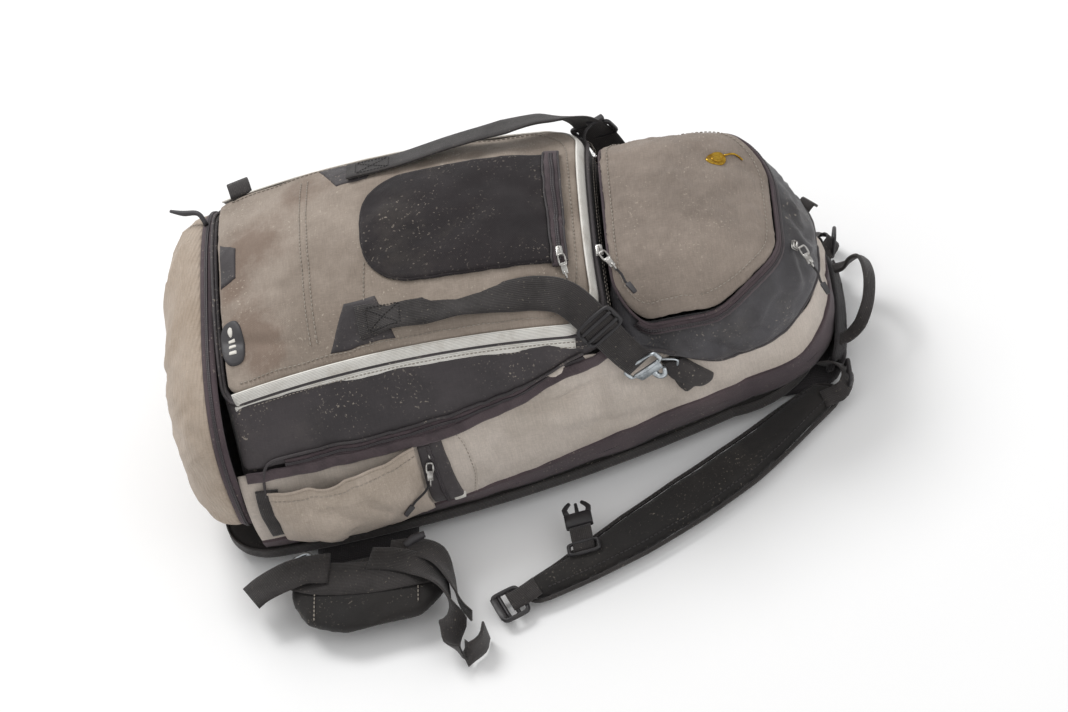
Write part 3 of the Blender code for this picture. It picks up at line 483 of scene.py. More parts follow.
def tube(name, path, radius, material, sides=10, step=0.003, smooth=True):
    """A round cord or rod along a smooth curve; the radius may change along it."""
    line = smooth_path(path, step) if smooth else np.array(path, dtype=float)
    radii = np.interp(
        np.linspace(0, 1, len(line)), np.linspace(0, 1, len(np.atleast_1d(radius))),
        np.atleast_1d(radius),
    )
    tangent = unit(np.gradient(line, axis=0))
    side = np.cross(tangent, (0.0, 0.0, 1.0))
    side[np.linalg.norm(side, axis=1) < 0.05] = (1.0, 0.0, 0.0)
    side = unit(side)
    up = np.cross(side, tangent)
    turns = np.linspace(0, 2 * math.pi, sides, endpoint=False)
    rings = [
        line + side * (radii * math.cos(t))[:, None] + up * (radii * math.sin(t))[:, None]
        for t in turns
    ]
    points = np.stack(rings, axis=1)
    obj = solid(name, points, material)
    length = run_along(line)
    set_values(obj, "along", np.repeat(length, sides))
    set_values(obj, "across", np.tile(turns * float(np.mean(radii)), len(line)))
    return obj


def join(name, pieces):
    """Joins pieces into one object."""
    with bpy.context.temp_override(active_object=pieces[0], selected_editable_objects=pieces):
        bpy.ops.object.join()
    pieces[0].name = name
    return pieces[0]


def centre_of(node):
    """The middle of a CAD node's box."""
    low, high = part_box(node)
    return (np.array(low) + np.array(high)) / 2


def body_piece(obj, body, slot, *nodes):
    """Hangs a piece on a body and hides the CAD nodes that it stands for; the slot that names its finish
    is not used.
    """
    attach(obj, body)
    if nodes:
        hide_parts(*nodes)
    return obj


def stitches(name, line, normals, material=THREAD, pitch=0.0042, length=0.0030, radius=0.0005):
    """A row of stitches: short rounded bars that stand a little out of the cloth."""
    line, normals = np.asarray(line), unit(normals)
    run = run_along(line)
    points, faces = [], []
    for start in np.arange(pitch / 2, run[-1] - length, pitch):
        ends = [
            np.array([np.interp(s, run, line[:, k]) for k in range(3)])
            for s in (start, start + length)
        ]
        normal = unit([np.interp(start, run, normals[:, k]) for k in range(3)])
        along = unit(ends[1] - ends[0])
        side = np.cross(normal, along)
        base = len(points)
        for share, size in ((0.0, 0.4), (0.2, 1.0), (0.8, 1.0), (1.0, 0.4)):
            centre = ends[0] + (ends[1] - ends[0]) * share + normal * radius * 0.5 * size
            for turn in range(5):
                angle = 2 * math.pi * turn / 5
                points.append(
                    centre + (side * math.cos(angle) + normal * math.sin(angle)) * radius * size
                )
        faces += grid_faces(4, 5, base, wrap=True)
        faces += [tuple(base + k for k in range(5))[::-1], tuple(base + 15 + k for k in range(5))]
    return add_mesh(name, points, faces, material)


# Relief of cloth


def rough(u, v, size, seed):
    """Smooth random relief, about -1 to 1, with bumps of about the given size."""
    rng = np.random.default_rng(seed)
    total = 0.0
    bend_u = u + 0.25 * size * np.sin(v * 5.1 / size + seed)
    bend_v = v + 0.25 * size * np.sin(u * 4.3 / size + 2 * seed)
    for _ in range(10):
        angle, phase = rng.uniform(0, 2 * math.pi, 2)
        wave = 2 * math.pi / (size * rng.uniform(0.75, 1.7))
        total = total + np.sin((bend_u * math.cos(angle) + bend_v * math.sin(angle)) * wave + phase)
    return total / 3.2


def creases(u, v, size, seed):
    """Sharp ridges between soft hollows, 0 to 1."""
    return np.exp(-5.0 * np.abs(rough(u, v, size, seed)))


def folds(u, v, lines):
    """Ridges or furrows along straight lines: each is start, end, width and height."""
    total = np.zeros_like(np.asarray(u, dtype=float) + np.asarray(v, dtype=float))
    for (u0, v0), (u1, v1), width, height in lines:
        du, dv = u1 - u0, v1 - v0
        share = np.clip(((u - u0) * du + (v - v0) * dv) / (du * du + dv * dv), 0, 1)
        away = np.hypot(u - u0 - share * du, v - v0 - share * dv)
        total = total + height * np.exp(-((away / width) ** 2)) * (0.35 + 0.65 * np.sin(math.pi * share))
    return total


def ease(value, low, high):
    share = np.clip((value - low) / (high - low), 0, 1)
    return share * share * (3 - 2 * share)


class Surface:
    """A cloth surface read by two numbers; sign says which way it faces."""

    def __init__(self, at, sign=1.0):
        self.at = at
        self.sign = sign

    def normal(self, a, b):
        step = 0.0012
        along = self.at(a + step, b) - self.at(a - step, b)
        across = self.at(a, b + step) - self.at(a, b - step)
        return unit(np.cross(along, across)) * self.sign

    def place(self, a, b, lift=0.0):
        a, b = np.broadcast_arrays(np.asarray(a, dtype=float), np.asarray(b, dtype=float))
        lift = np.broadcast_to(np.asarray(lift, dtype=float), a.shape)
        return self.at(a, b) + self.normal(a, b) * lift[..., None]

    def line(self, spots, lift=0.0, step=0.004):
        """Points and normals along a smooth curve given in the surface's own numbers."""
        flat = smooth_path([(a, b, 0.0) for a, b in spots], step)
        a, b = flat[:, 0], flat[:, 1]
        return self.place(a, b, lift), self.normal(a, b)

    def ribbon(self, name, spots, width, thick, material, lift=0.0, crown=0.0):
        """A strip sewn on along a curve."""
        line, facing = self.line(spots, lift)
        across = unit(np.cross(facing, unit(np.gradient(line, axis=0))))
        return strip(
            name, line, np.cross(unit(np.gradient(line, axis=0)), across), width, thick, material, 0.006,
            crown,
        )

    def seam(self, name, spots, material=THREAD, lift=0.0004, pitch=0.0042):
        line, facing = self.line(spots, lift)
        return stitches(name, line, facing, material, pitch)

    def patch(self, name, corners, lift, material, count=(24, 24), edge=0.0025):
        """A sewn-on patch between four corners, rolled down to the surface at its edge."""
        s, t = np.meshgrid(np.linspace(0, 1, count[0]), np.linspace(0, 1, count[1]), indexing="ij")
        (a0, b0), (a1, b1), (a2, b2), (a3, b3) = corners
        a = (1 - s) * (1 - t) * a0 + s * (1 - t) * a1 + s * t * a2 + (1 - s) * t * a3
        b = (1 - s) * (1 - t) * b0 + s * (1 - t) * b1 + s * t * b2 + (1 - s) * t * b3
        width = min(math.hypot(a1 - a0, b1 - b0), math.hypot(a2 - a3, b2 - b3))
        height = min(math.hypot(a3 - a0, b3 - b0), math.hypot(a2 - a1, b2 - b1))
        away = np.minimum(
            np.minimum(s, 1 - s) * max(width, 0.004), np.minimum(t, 1 - t) * max(height, 0.004),
        )
        crown = np.sqrt(1 - (1 - np.clip(away / edge, 0, 1)) ** 2)
        outer = self.place(a, b, lift * crown + 0.0002)
        inner = self.place(a, b, -0.0008)
        return skin(name, outer, inner, material, flip=self.sign < 0)

    def disc(self, name, centre, size, lift, material, turn=0.0, power=2.0, dome=0.35):
        """A rounded patch or plate: an ellipse, or a rounder oblong with a higher power."""
        shares = np.array([0.0, 0.25, 0.5, 0.75, 0.88, 0.96, 1.0])
        angles = np.linspace(0, 2 * math.pi, 48, endpoint=False)
        share, angle = np.meshgrid(shares, angles, indexing="ij")
        c, s = np.cos(angle), np.sin(angle)
        p = share * size[0] * np.sign(c) * np.abs(c) ** (2 / power)
        q = share * size[1] * np.sign(s) * np.abs(s) ** (2 / power)
        a = centre[0] + p * math.cos(turn) - q * math.sin(turn)
        b = centre[1] + p * math.sin(turn) + q * math.cos(turn)
        crown = np.where(share > 0.999, 0.0, 1 - dome * share**6)
        outer = self.place(a, b, lift * crown + 0.0001)
        inner = self.place(a, b, -0.0008)
        return skin(name, outer, inner, material, wrap=True, flip=self.sign < 0)


# The pack's outer shape, as the CAD frame has it

TAIL, HEAD = -0.2445, 0.270
BASE, WAIST, DECK = 0.0393, 0.075, 0.112
FLAP_X0, FLAP_X1, FLAP_HALF, FLAP_THICK = -0.236, 0.088, 0.106, 0.008
TRAY_X1, TRAY_HALF = 0.0955, 0.110
COVER_X0, COVER_X1, COVER_HALF, COVER_THICK = 0.1065, 0.246, 0.094, 0.008
LEAN = 0.10
END_MIDDLE, END_TOP, END_HALF = 0.085, 0.186, 0.154
CORNER = 0.078


def half_width(x):
    run = x - TAIL
    return 0.1585 + 0.038 * run - 0.420 * run**2


def wall_half(x, z):
    """Distance of the side wall from the middle: bulged below, drawn in towards the front."""
    low = half_width(x) - 0.009 * ((z - 0.072) / 0.040) ** 2
    deck = half_width(x) - 0.009
    share = np.clip((z - DECK) / 0.068, 0, 1) ** 1.1
    return np.where(z < DECK, low, deck + (TRAY_HALF - deck) * share)


def flap_height(x, y):
    crown = 0.232 - 0.93 * (x + 0.060) ** 2
    rim = 0.201 - 0.65 * (x + 0.075) ** 2
    share = np.clip(np.abs(y) / FLAP_HALF, 0, 1)
    return rim + (crown - rim) * (1 - share**2.6) + LEAN * y


def cover_height(x, y):
    across = 1 - np.clip(np.abs(y) / (COVER_HALF + 0.004), 0, 1) ** 5
    along = 1 - np.clip((x - 0.130) / 0.125, 0, 2) ** 2.6
    return 0.150 + 0.055 * across * along + LEAN * y


# Relief of each panel: folds that the real cloth has, and finer random creases

WALL_FOLDS = [
    ((0.016, 0.131), (0.077, 0.150), 0.0045, -0.0030),
    ((0.077, 0.150), (0.100, 0.142), 0.0045, -0.0026),
    ((0.090, 0.130), (0.078, 0.094), 0.0055, -0.0036),
    ((0.023, 0.102), (0.060, 0.1265), 0.0070, 0.0036),
    ((0.000, 0.118), (0.055, 0.111), 0.0045, -0.0045),
    ((0.050, 0.112), (0.095, 0.118), 0.0040, -0.0040),
    ((0.075, 0.108), (0.078, 0.078), 0.0050, -0.0030),
    ((0.020, 0.100), (0.060, 0.092), 0.0090, 0.0045),
    ((0.110, 0.128), (0.082, 0.090), 0.0060, 0.0040),
    ((0.100, 0.120), (0.165, 0.074), 0.0055, -0.0035),
    ((0.040, 0.080), (0.120, 0.066), 0.0080, -0.0030),
    ((-0.030, 0.108), (-0.020, 0.060), 0.0060, -0.0022),
    ((0.130, 0.100), (0.190, 0.068), 0.0090, 0.0030),
]
FLAP_FOLDS = [
    ((-0.232, -0.060), (-0.165, -0.085), 0.0050, -0.0028),
    ((-0.225, -0.020), (-0.160, -0.034), 0.0060, -0.0020),
    ((-0.228, 0.040), (-0.170, 0.060), 0.0060, -0.0022),
    ((-0.154, -0.090), (-0.154, 0.070), 0.0022, 0.0010),
    ((-0.120, -0.096), (-0.070, -0.090), 0.0050, 0.0026),
    ((-0.030, -0.088), (0.050, -0.070), 0.0060, -0.0022),
    ((0.058, -0.050), (0.062, 0.050), 0.0080, 0.0018),
    ((-0.190, 0.000), (-0.130, 0.020), 0.0120, 0.0016),
]
COVER_FOLDS = [
    ((0.110, -0.070), (0.160, -0.080), 0.0060, -0.0018),
    ((0.180, 0.050), (0.225, 0.030), 0.0080, -0.0020),
    ((0.120, 0.060), (0.170, 0.078), 0.0060, -0.0016),
]


def wall_relief(u, v):
    relief = folds(u, v, WALL_FOLDS) + 0.0014 * rough(u, v, 0.060, 3) + 0.0003 * rough(u, v, 0.025, 4)
    relief = relief + 0.0005 * creases(u, v, 0.060, 5)
    return relief * ease(u, TAIL, TAIL + 0.03)


def flap_relief(x, y):
    relief = folds(x, y, FLAP_FOLDS) + 0.0012 * rough(x, y, 0.060, 11) + 0.0003 * rough(x, y, 0.025, 12)
    return relief + 0.0006 * creases(x, y, 0.060, 13)


def cover_relief(x, y):
    relief = folds(x, y, COVER_FOLDS) + 0.0009 * rough(x, y, 0.055, 21) + 0.0005 * rough(x, y, 0.020, 22)
    return relief + 0.0006 * creases(x, y, 0.045, 23) + 0.0002 * rough(x, y, 0.008, 24)


def near_wall(x, z):
    return np.stack([x, -wall_half(x, z) - wall_relief(x, z), z + 0 * x], axis=-1)


def far_wall(x, z):
    return np.stack([x, wall_half(x, z) + wall_relief(x + 0.9, z), z + 0 * x], axis=-1)


WALLS = {-1: Surface(near_wall, 1.0), 1: Surface(far_wall, -1.0)}
FLAP = Surface(lambda x, y: np.stack([x, y, flap_height(x, y) + flap_relief(x, y)], axis=-1))
COVER = Surface(lambda x, y: np.stack([x, y, cover_height(x, y) + cover_relief(x, y)], axis=-1))
SIDES = (("right", -1), ("left", 1))


def u_outline(x1, radius, half, flank=100, arc=18, front=14):
    """A U seen from the front: up the right side, round the head end and down the left side."""
    xs = np.linspace(TAIL, x1 - radius, flank)
    reach = float(half(x1 - radius))
    near = [(x, -float(half(x))) for x in xs]
    turns = np.radians(np.linspace(-90, 0, arc + 1)[1:])
    bend = [(x1 - radius + radius * math.cos(t), radius - reach + radius * math.sin(t)) for t in turns]
    middle = [(x1, y) for y in np.linspace(radius - reach, 0, front // 2 + 1)[1:]]
    right = near + bend + middle
    left = [(x, -y) for x, y in right[:-1]][::-1]
    return np.array(right + left)


def u_wall(low, high, rows, lift=0.0, relief=1.0):
    """Points of a wall round the pack between two heights, each a function of the run from the tail."""
    levels = np.linspace(0, 1, rows)
    plan = u_outline(HEAD, CORNER, lambda x: wall_half(x, WAIST))
    run = run_along(plan)
    total = run[-1]
    tail_run = np.minimum(run, total - run)
    grid = []
    for share in levels:
        heights = low(tail_run) + (high(tail_run) - low(tail_run)) * share
        head_x = HEAD - 0.010 * np.maximum(0.0, (heights - 0.085) / 0.03) ** 2
        outline = np.zeros((len(plan), 2))
        for z in sorted(set(np.round(heights, 4))):
            at = np.round(heights, 4) == z
            shape = u_outline(head_x[at][0], CORNER, lambda x: wall_half(x, z))
            outline[at] = shape[at]
        tangent = unit(np.gradient(outline, axis=0))
        out = np.stack([tangent[:, 1], -tangent[:, 0]], axis=1)
        bump = wall_relief(
            np.where(run < total / 2, TAIL + run, TAIL + 0.9 + (total - run)), heights,
        ) * relief
        flat = outline + out * (bump + lift)[:, None]
        grid.append(np.column_stack([flat, heights]))
    return np.array(grid)


def split_height(run):
    """Where the light side cloth ends and the black cloth begins."""
    places = np.array([0.0, 0.185, 0.209, 0.26, 0.32, 0.357, 0.385, 0.44, 0.50, 0.62])
    heights = np.array([0.118, 0.118, 0.1215, 0.130, 0.144, 0.150, 0.140, 0.094, 0.094, 0.104])
    return np.interp(run, places, heights)


def low_edge(run):
    """Upper edge of the back zip band, which widens towards the head end."""
    return 0.0385 + 0.020 * ease(run, 0.12, 0.36)


def bag_walls():
    shell = u_wall(lambda r: low_edge(r) - 0.001, split_height, 30)
    wall = sheet("side_wall_cloth", shell, 0.0012, SAND)
    body_piece(wall, "bag", "sand_cloth", "main_compartment")
    liner = u_wall(lambda r: 0.0250 + 0 * r, lambda r: 0.110 + 0 * r, 6, -0.0045, relief=0.5)
    lining = sheet("main_lining", liner, 0.0008, LINING)
    body_piece(lining, "bag", "sand_cloth")
    band = u_wall(lambda r: 0.0250 + 0 * r, lambda r: low_edge(r) + 0.0005, 8, 0.0008, relief=0.6)
    strap = sheet("back_zip_cloth", band, 0.0022, PLUM)
    body_piece(strap, "bag", "plum_tape", "back_zip_band")
    middle = u_wall(
        lambda r: 0.5 * (0.0250 + low_edge(r)), lambda r: 0.5 * (0.0250 + low_edge(r)) + 0.001, 2, 0.0015,
    )
    zip_line("back_zip_teeth", middle[0], out_of(middle[0]), "bag", "plum_tape")
    edge = u_wall(lambda r: low_edge(r), lambda r: low_edge(r) + 0.001, 2, 0.0010)
    cord = tube("back_band_piping", edge[0], 0.0011, PLUM, 8, 0.02)
    body_piece(cord, "bag", "plum_tape")


def out_of(line):
    """Normals that point out of a closed-in plan curve."""
    tangent = unit(np.gradient(np.asarray(line), axis=0))
    return unit(np.stack([tangent[:, 1], -tangent[:, 0], 0 * tangent[:, 0]], axis=1))


def zip_line(name, line, normals, body, slot, width=0.0042, pitch=0.0022):
    """A coil zip: a row of fine cross teeth on a narrow raised core."""
    line, normals = np.asarray(line), unit(normals)
    run = run_along(line)
    places = np.arange(0, run[-1], pitch / 4)
    points = np.stack([np.interp(places, run, line[:, k]) for k in range(3)], axis=1)
    facing = unit(np.stack([np.interp(places, run, normals[:, k]) for k in range(3)], axis=1))
    along = unit(np.gradient(points, axis=0))
    across = unit(np.cross(facing, along))
    tooth = 0.5 + 0.5 * np.sin(2 * math.pi * places / pitch)
    rings = []
    for side, height in (
        (-1, 0.0), (-0.8, 0.8), (-0.12, 0.9), (0.0, 0.35), (0.12, 0.9), (0.8, 0.8), (1, 0.0), (0, -0.4),
    ):
        reach = width / 2 * side * (0.86 + 0.14 * tooth)
        lift = 0.0011 * height * (0.55 + 0.45 * tooth)
        rings.append(points + across * reach[:, None] + facing * lift[:, None])
    return body_piece(solid(name, np.stack(rings, axis=1), ZIP_TEETH), body, slot)


def ring_outline(x0, x1, half, r0, r1, count=240):
    """A closed outline with round corners, seen from the front, with evenly spread points."""
    points = []

    def corner(x, radius, side, start):
        middle = side * (float(half(x)) - radius)
        for turn in np.radians(np.linspace(start, start + 90, 12)):
            points.append((x + radius * math.cos(turn), middle + radius * math.sin(turn)))

    corner(x1 - r1, r1, -1, -90)
    corner(x1 - r1, r1, 1, 0)
    points += [(x, float(half(x))) for x in np.linspace(x1 - r1, x0 + r0, 40)[1:-1]]
    corner(x0 + r0, r0, 1, 90)
    corner(x0 + r0, r0, -1, 180)
    points += [(x, -float(half(x))) for x in np.linspace(x0 + r0, x1 - r1, 40)[1:-1]]
    points.append(points[0])
    points = np.array(points)
    run = run_along(points)
    places = np.linspace(0, run[-1], count, endpoint=False)
    return np.stack([np.interp(places, run, points[:, k]) for k in range(2)], axis=1)


def tool_shell():
    """The black tray under the front flap: puffed side walls, a rim and a floor."""
    grid = []
    low = ring_outline(TAIL, 0.0995, lambda x: float(wall_half(x, 0.109)), 0.020, 0.012)
    top = ring_outline(TAIL + 0.002, TRAY_X1, lambda x: TRAY_HALF, 0.020, 0.030)
    rim = flap_height(np.clip(top[:, 0], FLAP_X0, FLAP_X1), top[:, 1]) - 0.0092
    for share in np.linspace(0, 1, 26):
        plan = low + (top - low) * share
        heights = 0.109 + (rim - 0.109) * share
        out = out_of(np.column_stack([plan, heights]))[:, :2]
        flank = ease(np.abs(out[:, 1]), 0.5, 0.95)
        wall = np.sign(plan[:, 1]) * wall_half(plan[:, 0], heights)
        plan = np.column_stack([plan[:, 0], plan[:, 1] + (wall - plan[:, 1]) * flank * (1 - share**4)])
        above = ease(heights, split_height(plan[:, 0] - TAIL), split_height(plan[:, 0] - TAIL) + 0.006)
        relief = wall_relief(np.where(plan[:, 1] < 0, plan[:, 0], plan[:, 0] + 0.9), heights)
        bump = 0.0004 * creases(plan[:, 0], heights * 1.5 + plan[:, 1], 0.050, 32) + relief
        lift = (bump + 0.0026) * above + (relief - 0.0075) * (1 - above)
        lift = lift * (1 - share**6) * flank - 0.002 * (1 - flank) * (1 - share)
        flat = plan + out * lift[:, None]
        grid.append(np.column_stack([flat, heights]))
    outer = np.array(grid)
    inner = []
    for share in np.linspace(0, 1, 26):
        plan = ring_outline(TAIL + 0.006, TRAY_X1 - 0.005, lambda x: TRAY_HALF - 0.005, 0.016, 0.025)
        rim = flap_height(np.clip(plan[:, 0], FLAP_X0, FLAP_X1), plan[:, 1]) - 0.0092
        inner.append(np.column_stack([plan, 0.1165 + (rim - 0.1165) * share]))
    shell = skin("tool_compartment_cloth", outer, np.array(inner), DARK, wrap=True)
    body_piece(shell, "bag", "dark_cloth", "tool_compartment")
    floor_plate("tool_compartment_floor", inner[0][:, :2], 0.1165, LINING)
    rim = np.vstack([outer[-1], outer[-1][:1]]) + rise(0.0004)
    binding = tube("tool_compartment_binding", rim, 0.0016, DARK, 8, 0.02)
    body_piece(binding, "bag", "dark_cloth")


def floor_plate(name, outline, z, material):
    """A flat cloth floor inside an outline, with a little unevenness."""
    shares = np.linspace(1.0, 0.0, 12)[:, None, None]
    middle = outline.mean(axis=0)
    flat = middle + (outline - middle) * shares
    height = z + 0.0008 * rough(flat[..., 0], flat[..., 1], 0.04, 41)
    outer = np.concatenate([flat, height[..., None]], axis=2)
    plate = skin(name, outer, outer - rise(0.0015), material, wrap=True, flip=True)
    body_piece(plate, "bag", "dark_cloth")
    return plate


def top_shell():
    """The black puffed gusset round the top pocket; it hangs over the light side cloth."""
    grid = []
    rows = 24
    low = ring_outline(0.1000, HEAD - 0.002, lambda x: float(wall_half(x, 0.100)) + 0.0015, 0.010, 0.074)
    top = ring_outline(COVER_X0 - 0.002, COVER_X1 + 0.002, lambda x: COVER_HALF + 0.002, 0.024, 0.072)
    drop = 0.112 + 0.030 * (1 - ease(low[:, 0], 0.112, 0.185)) - 0.020 * ease(low[:, 0], 0.112, 0.190)
    drop = drop + 0.012 * ease(low[:, 0], 0.235, 0.270)
    for share in np.linspace(0, 1, rows):
        plan = low + (top - low) * share**0.85
        x = np.clip(plan[:, 0], COVER_X0, COVER_X1)
        rim = cover_height(x, plan[:, 1]) - 0.0100
        heights = drop + (rim - drop) * share
        puff = 0.0085 * math.sin(math.pi * share) ** 0.75
        out = out_of(np.column_stack([plan, heights]))[:, :2]
        run = np.arctan2(plan[:, 1], plan[:, 0] - 0.165) * 0.1
        bump = 0.0022 * rough(run, heights, 0.034, 33) + 0.0014 * creases(run, heights, 0.040, 34)
        bump = bump * math.sin(math.pi * share)
        relief = wall_relief(np.where(plan[:, 1] < 0, plan[:, 0], plan[:, 0] + 0.9), heights)
        bump = bump + (relief + 0.0022) * (1 - share) ** 2
        flat = plan + out * (puff * ease(plan[:, 0], 0.100, 0.135) + bump)[:, None]
        grid.append(np.column_stack([flat, heights]))
    outer = np.array(grid)
    plan = ring_outline(COVER_X0 + 0.003, COVER_X1 - 0.003, lambda x: COVER_HALF - 0.003, 0.020, 0.067)
    inner = []
    for share in np.linspace(0, 1, rows):
        rim = cover_height(np.clip(plan[:, 0], COVER_X0, COVER_X1), plan[:, 1]) - 0.0100
        inner.append(np.column_stack([plan, 0.1165 + (rim - 0.1165) * share]))
    shell = skin("top_pocket_cloth", outer, np.array(inner), GREY_BLACK, wrap=True)
    body_piece(shell, "bag", "dark_cloth", "top_pocket_tray")
    floor_plate("top_pocket_floor", plan, 0.1165, LINING)
    edge = np.vstack([outer[0], outer[0][:1]])
    piping = tube("top_pocket_piping", edge, 0.0017, DARK, 8, 0.02)
    body_piece(piping, "bag", "dark_cloth")


def flap_reach(x, x0=FLAP_X0, x1=FLAP_X1, half=FLAP_HALF, r0=0.012, r1=0.030):
    near = np.sqrt(np.clip(r0**2 - (x0 + r0 - x) ** 2, 0, None))
    far = np.sqrt(np.clip(r1**2 - (x - x1 + r1) ** 2, 0, None))
    reach = np.where(x < x0 + r0, half - r0 + near, half)
    return np.where(x > x1 - r1, half - r1 + far, reach)


def pillow(name, surface, x0, x1, reach, thick, material, count=(120, 90), roll=0.0045):
    """A panel over a surface, with rolled edges."""
    s = 0.5 - 0.5 * np.cos(np.linspace(0, math.pi, count[0])) * (
        0.85 + 0.15 * np.abs(np.cos(np.linspace(0, math.pi, count[0])))
    )
    s = (s - s[0]) / (s[-1] - s[0])
    t = np.sin(np.linspace(-math.pi / 2, math.pi / 2, count[1]))
    x = x0 + (x1 - x0) * s[:, None] + 0 * t
    y = reach(x) * t
    away = np.minimum(np.minimum(x - x0, x1 - x), (reach(x) - np.abs(y)))
    crown = np.sqrt(np.clip(1 - (1 - np.clip(away / roll, 0, 1)) ** 2, 0, 1))
    outer = surface.place(x, y, -thick / 2 * (1 - crown))
    inner = surface.place(x, y, -thick / 2 * (1 + crown) - 1e-5)
    return skin(name, outer, inner, material), x, y


def grime_at(x, y, spots):
    """Stain strength near a list of spots: place, reach and strength."""
    total = np.zeros_like(x)
    for (a, b), reach, strength in spots:
        total = total + strength * np.exp(-(((x - a) ** 2 + (y - b) ** 2) / reach**2))
    return np.clip(total, 0, 1)


FLAP_STAINS = [
    ((-0.215, -0.060), 0.030, 1.0), ((-0.205, 0.030), 0.030, 0.9), ((-0.160, 0.075), 0.028, 0.7),
    ((-0.195, -0.085), 0.020, 0.9), ((-0.110, 0.080), 0.030, 0.5), ((-0.120, -0.080), 0.030, 0.5),
    ((0.030, -0.090), 0.030, 0.5), ((-0.225, -0.010), 0.018, 0.9), ((-0.170, 0.000), 0.05, 0.35),
]


def front_flap():
    flap, x, y = pillow(
        "front_flap_cloth", FLAP, FLAP_X0, FLAP_X1, flap_reach, FLAP_THICK, TAUPE, (150, 110),
    )
    grime = grime_at(x, y, FLAP_STAINS)
    set_values(flap, "grime", np.concatenate([grime.ravel(), grime.ravel()]))
    body_piece(flap, "front_flap", "taupe_cloth", "front_flap")
    pieces = []
    hem = [(x, -float(flap_reach(x)) + 0.007) for x in np.linspace(-0.226, 0.052, 20)]
    hem += [(0.070, -0.086), (0.078, -0.070), (0.080, -0.040), (0.080, 0.0)]
    hem += [(x, -y) for x, y in hem[:-1]][::-1]
    pieces.append(FLAP.seam("flap_hem_stitch", hem, PALE_THREAD))
    for offset in (-0.156, -0.150):
        pieces.append(
            FLAP.seam(
                "flap_cross_stitch", [(offset, -0.090), (offset, 0.0), (offset, 0.092)], PALE_THREAD,
            )
        )
    panel_seam = [(-0.104, -0.100), (-0.104, -0.066), (-0.100, -0.030)]
    pieces.append(FLAP.seam("flap_panel_stitch", panel_seam, PALE_THREAD))
    stitched = join("flap_stitches", pieces)
    body_piece(stitched, "front_flap", "taupe_cloth")
    patches = []
    patches.append(
        FLAP.patch(
            "flap_tab", [(-0.2335, -0.006), (-0.219, 0.000), (-0.217, 0.030), (-0.2325, 0.042)], 0.0014,
            DARK,
        )
    )
    for side in (-1, 1):
        corners = [(-0.140, 0.098), (-0.082, 0.098), (-0.094, 0.064), (-0.122, 0.064)]
        corners = [(x, side * y) for x, y in corners]
        if side > 0:
            corners = corners[::-1]
        patches.append(FLAP.patch("strap_patch", corners, 0.0010, DARK))
    for patch in patches:
        body_piece(patch, "front_flap", "dark_cloth")
    label = FLAP.disc(
        "flap_label", (-0.226, -0.064), (0.0105, 0.020), 0.0022, LABEL, turn=0.06, power=2.6,
    )
    body_piece(label, "front_flap", "buckle_plastic")
    marks = [
        FLAP.disc("mark", (-0.226, -0.064 + shift), (0.0035, 0.0016), 0.0030, PALE_MARK, power=6)
        for shift in (-0.009, -0.003, 0.003)
    ]
    marks.append(FLAP.disc("mark", (-0.226, -0.054), (0.0022, 0.0038), 0.0030, PALE_MARK))
    mark = join("flap_label_marks", marks)
    body_piece(mark, "front_flap", "buckle_plastic")


def pocket_reach(x):
    tail = np.sqrt(np.clip(0.044**2 - (-0.100 + 0.044 - x) ** 2, 0, None))
    return np.where(x < -0.056, 0.058 - 0.044 + tail, 0.058)


def stretch_pocket():
    pocket, x, y = pillow(
        "stretch_pocket_cloth", Surface(lambda x, y: FLAP.place(x, y, 0.0042)), -0.100, 0.059,
        pocket_reach, 0.0044, STRETCH, (60, 50), 0.003,
    )
    body_piece(pocket, "front_flap", "stretch_cloth", "stretch_pocket")
    rim = [
        (0.059, -0.058), (0.0, -0.058), (-0.056, -0.058), (-0.073, -0.0545), (-0.0870, -0.0452),
        (-0.0966, -0.031), (-0.1000, -0.014), (-0.1002, 0.0),
    ]
    rim += [(x, -y) for x, y in rim[:-1]][::-1]
    line, facing = FLAP.line(rim, 0.0016)
    piping = tube("stretch_pocket_piping", line, 0.0014, STRETCH, 8, 0.01)
    body_piece(piping, "front_flap", "taupe_cloth")
    tape = FLAP.ribbon(
        "pocket_zip_cloth", [(0.066, -0.062), (0.066, 0.0), (0.066, 0.062)], 0.0135, 0.0024, PLUM_TAPE,
        0.0026,
    )
    body_piece(tape, "front_flap", "plum_tape", "pocket_zip_tape")
    line, facing = FLAP.line([(0.066, -0.058), (0.066, 0.0), (0.066, 0.058)], 0.0040)
    zip_line("pocket_zip_teeth", line, facing, "front_flap", "plum_tape")
    edge = [FLAP.line([(x, -0.059), (x, 0.0), (x, 0.059)], 0.0040)[0] for x in (0.0597, 0.0723)]
    cords = join("pocket_zip_piping", [tube("cord", line, 0.0010, DARK, 8, 0.01) for line in edge])
    body_piece(cords, "front_flap", "plum_tape")


def trim_path(half, x_end, corner, below):
    """The way of the flap's zip: up one side, round the head end and back."""
    near = [(x, -half) for x in np.linspace(FLAP_X0 + 0.004, x_end - corner, 40)]
    turns = np.radians(np.linspace(-90, 0, 12)[1:])
    near += [(x_end - corner + corner * math.cos(t), corner - half + corner * math.sin(t)) for t in turns]
    near += [(x_end, y) for y in np.linspace(corner - half, 0, 12)[1:]]
    plan = np.array(near + [(x, -y) for x, y in near[:-1]][::-1])
    x, y = plan[:, 0], plan[:, 1]
    heights = flap_height(np.clip(x, FLAP_X0, FLAP_X1 + 0.008), y) - below
    line = np.column_stack([x, y, heights])
    return line, out_of(line)


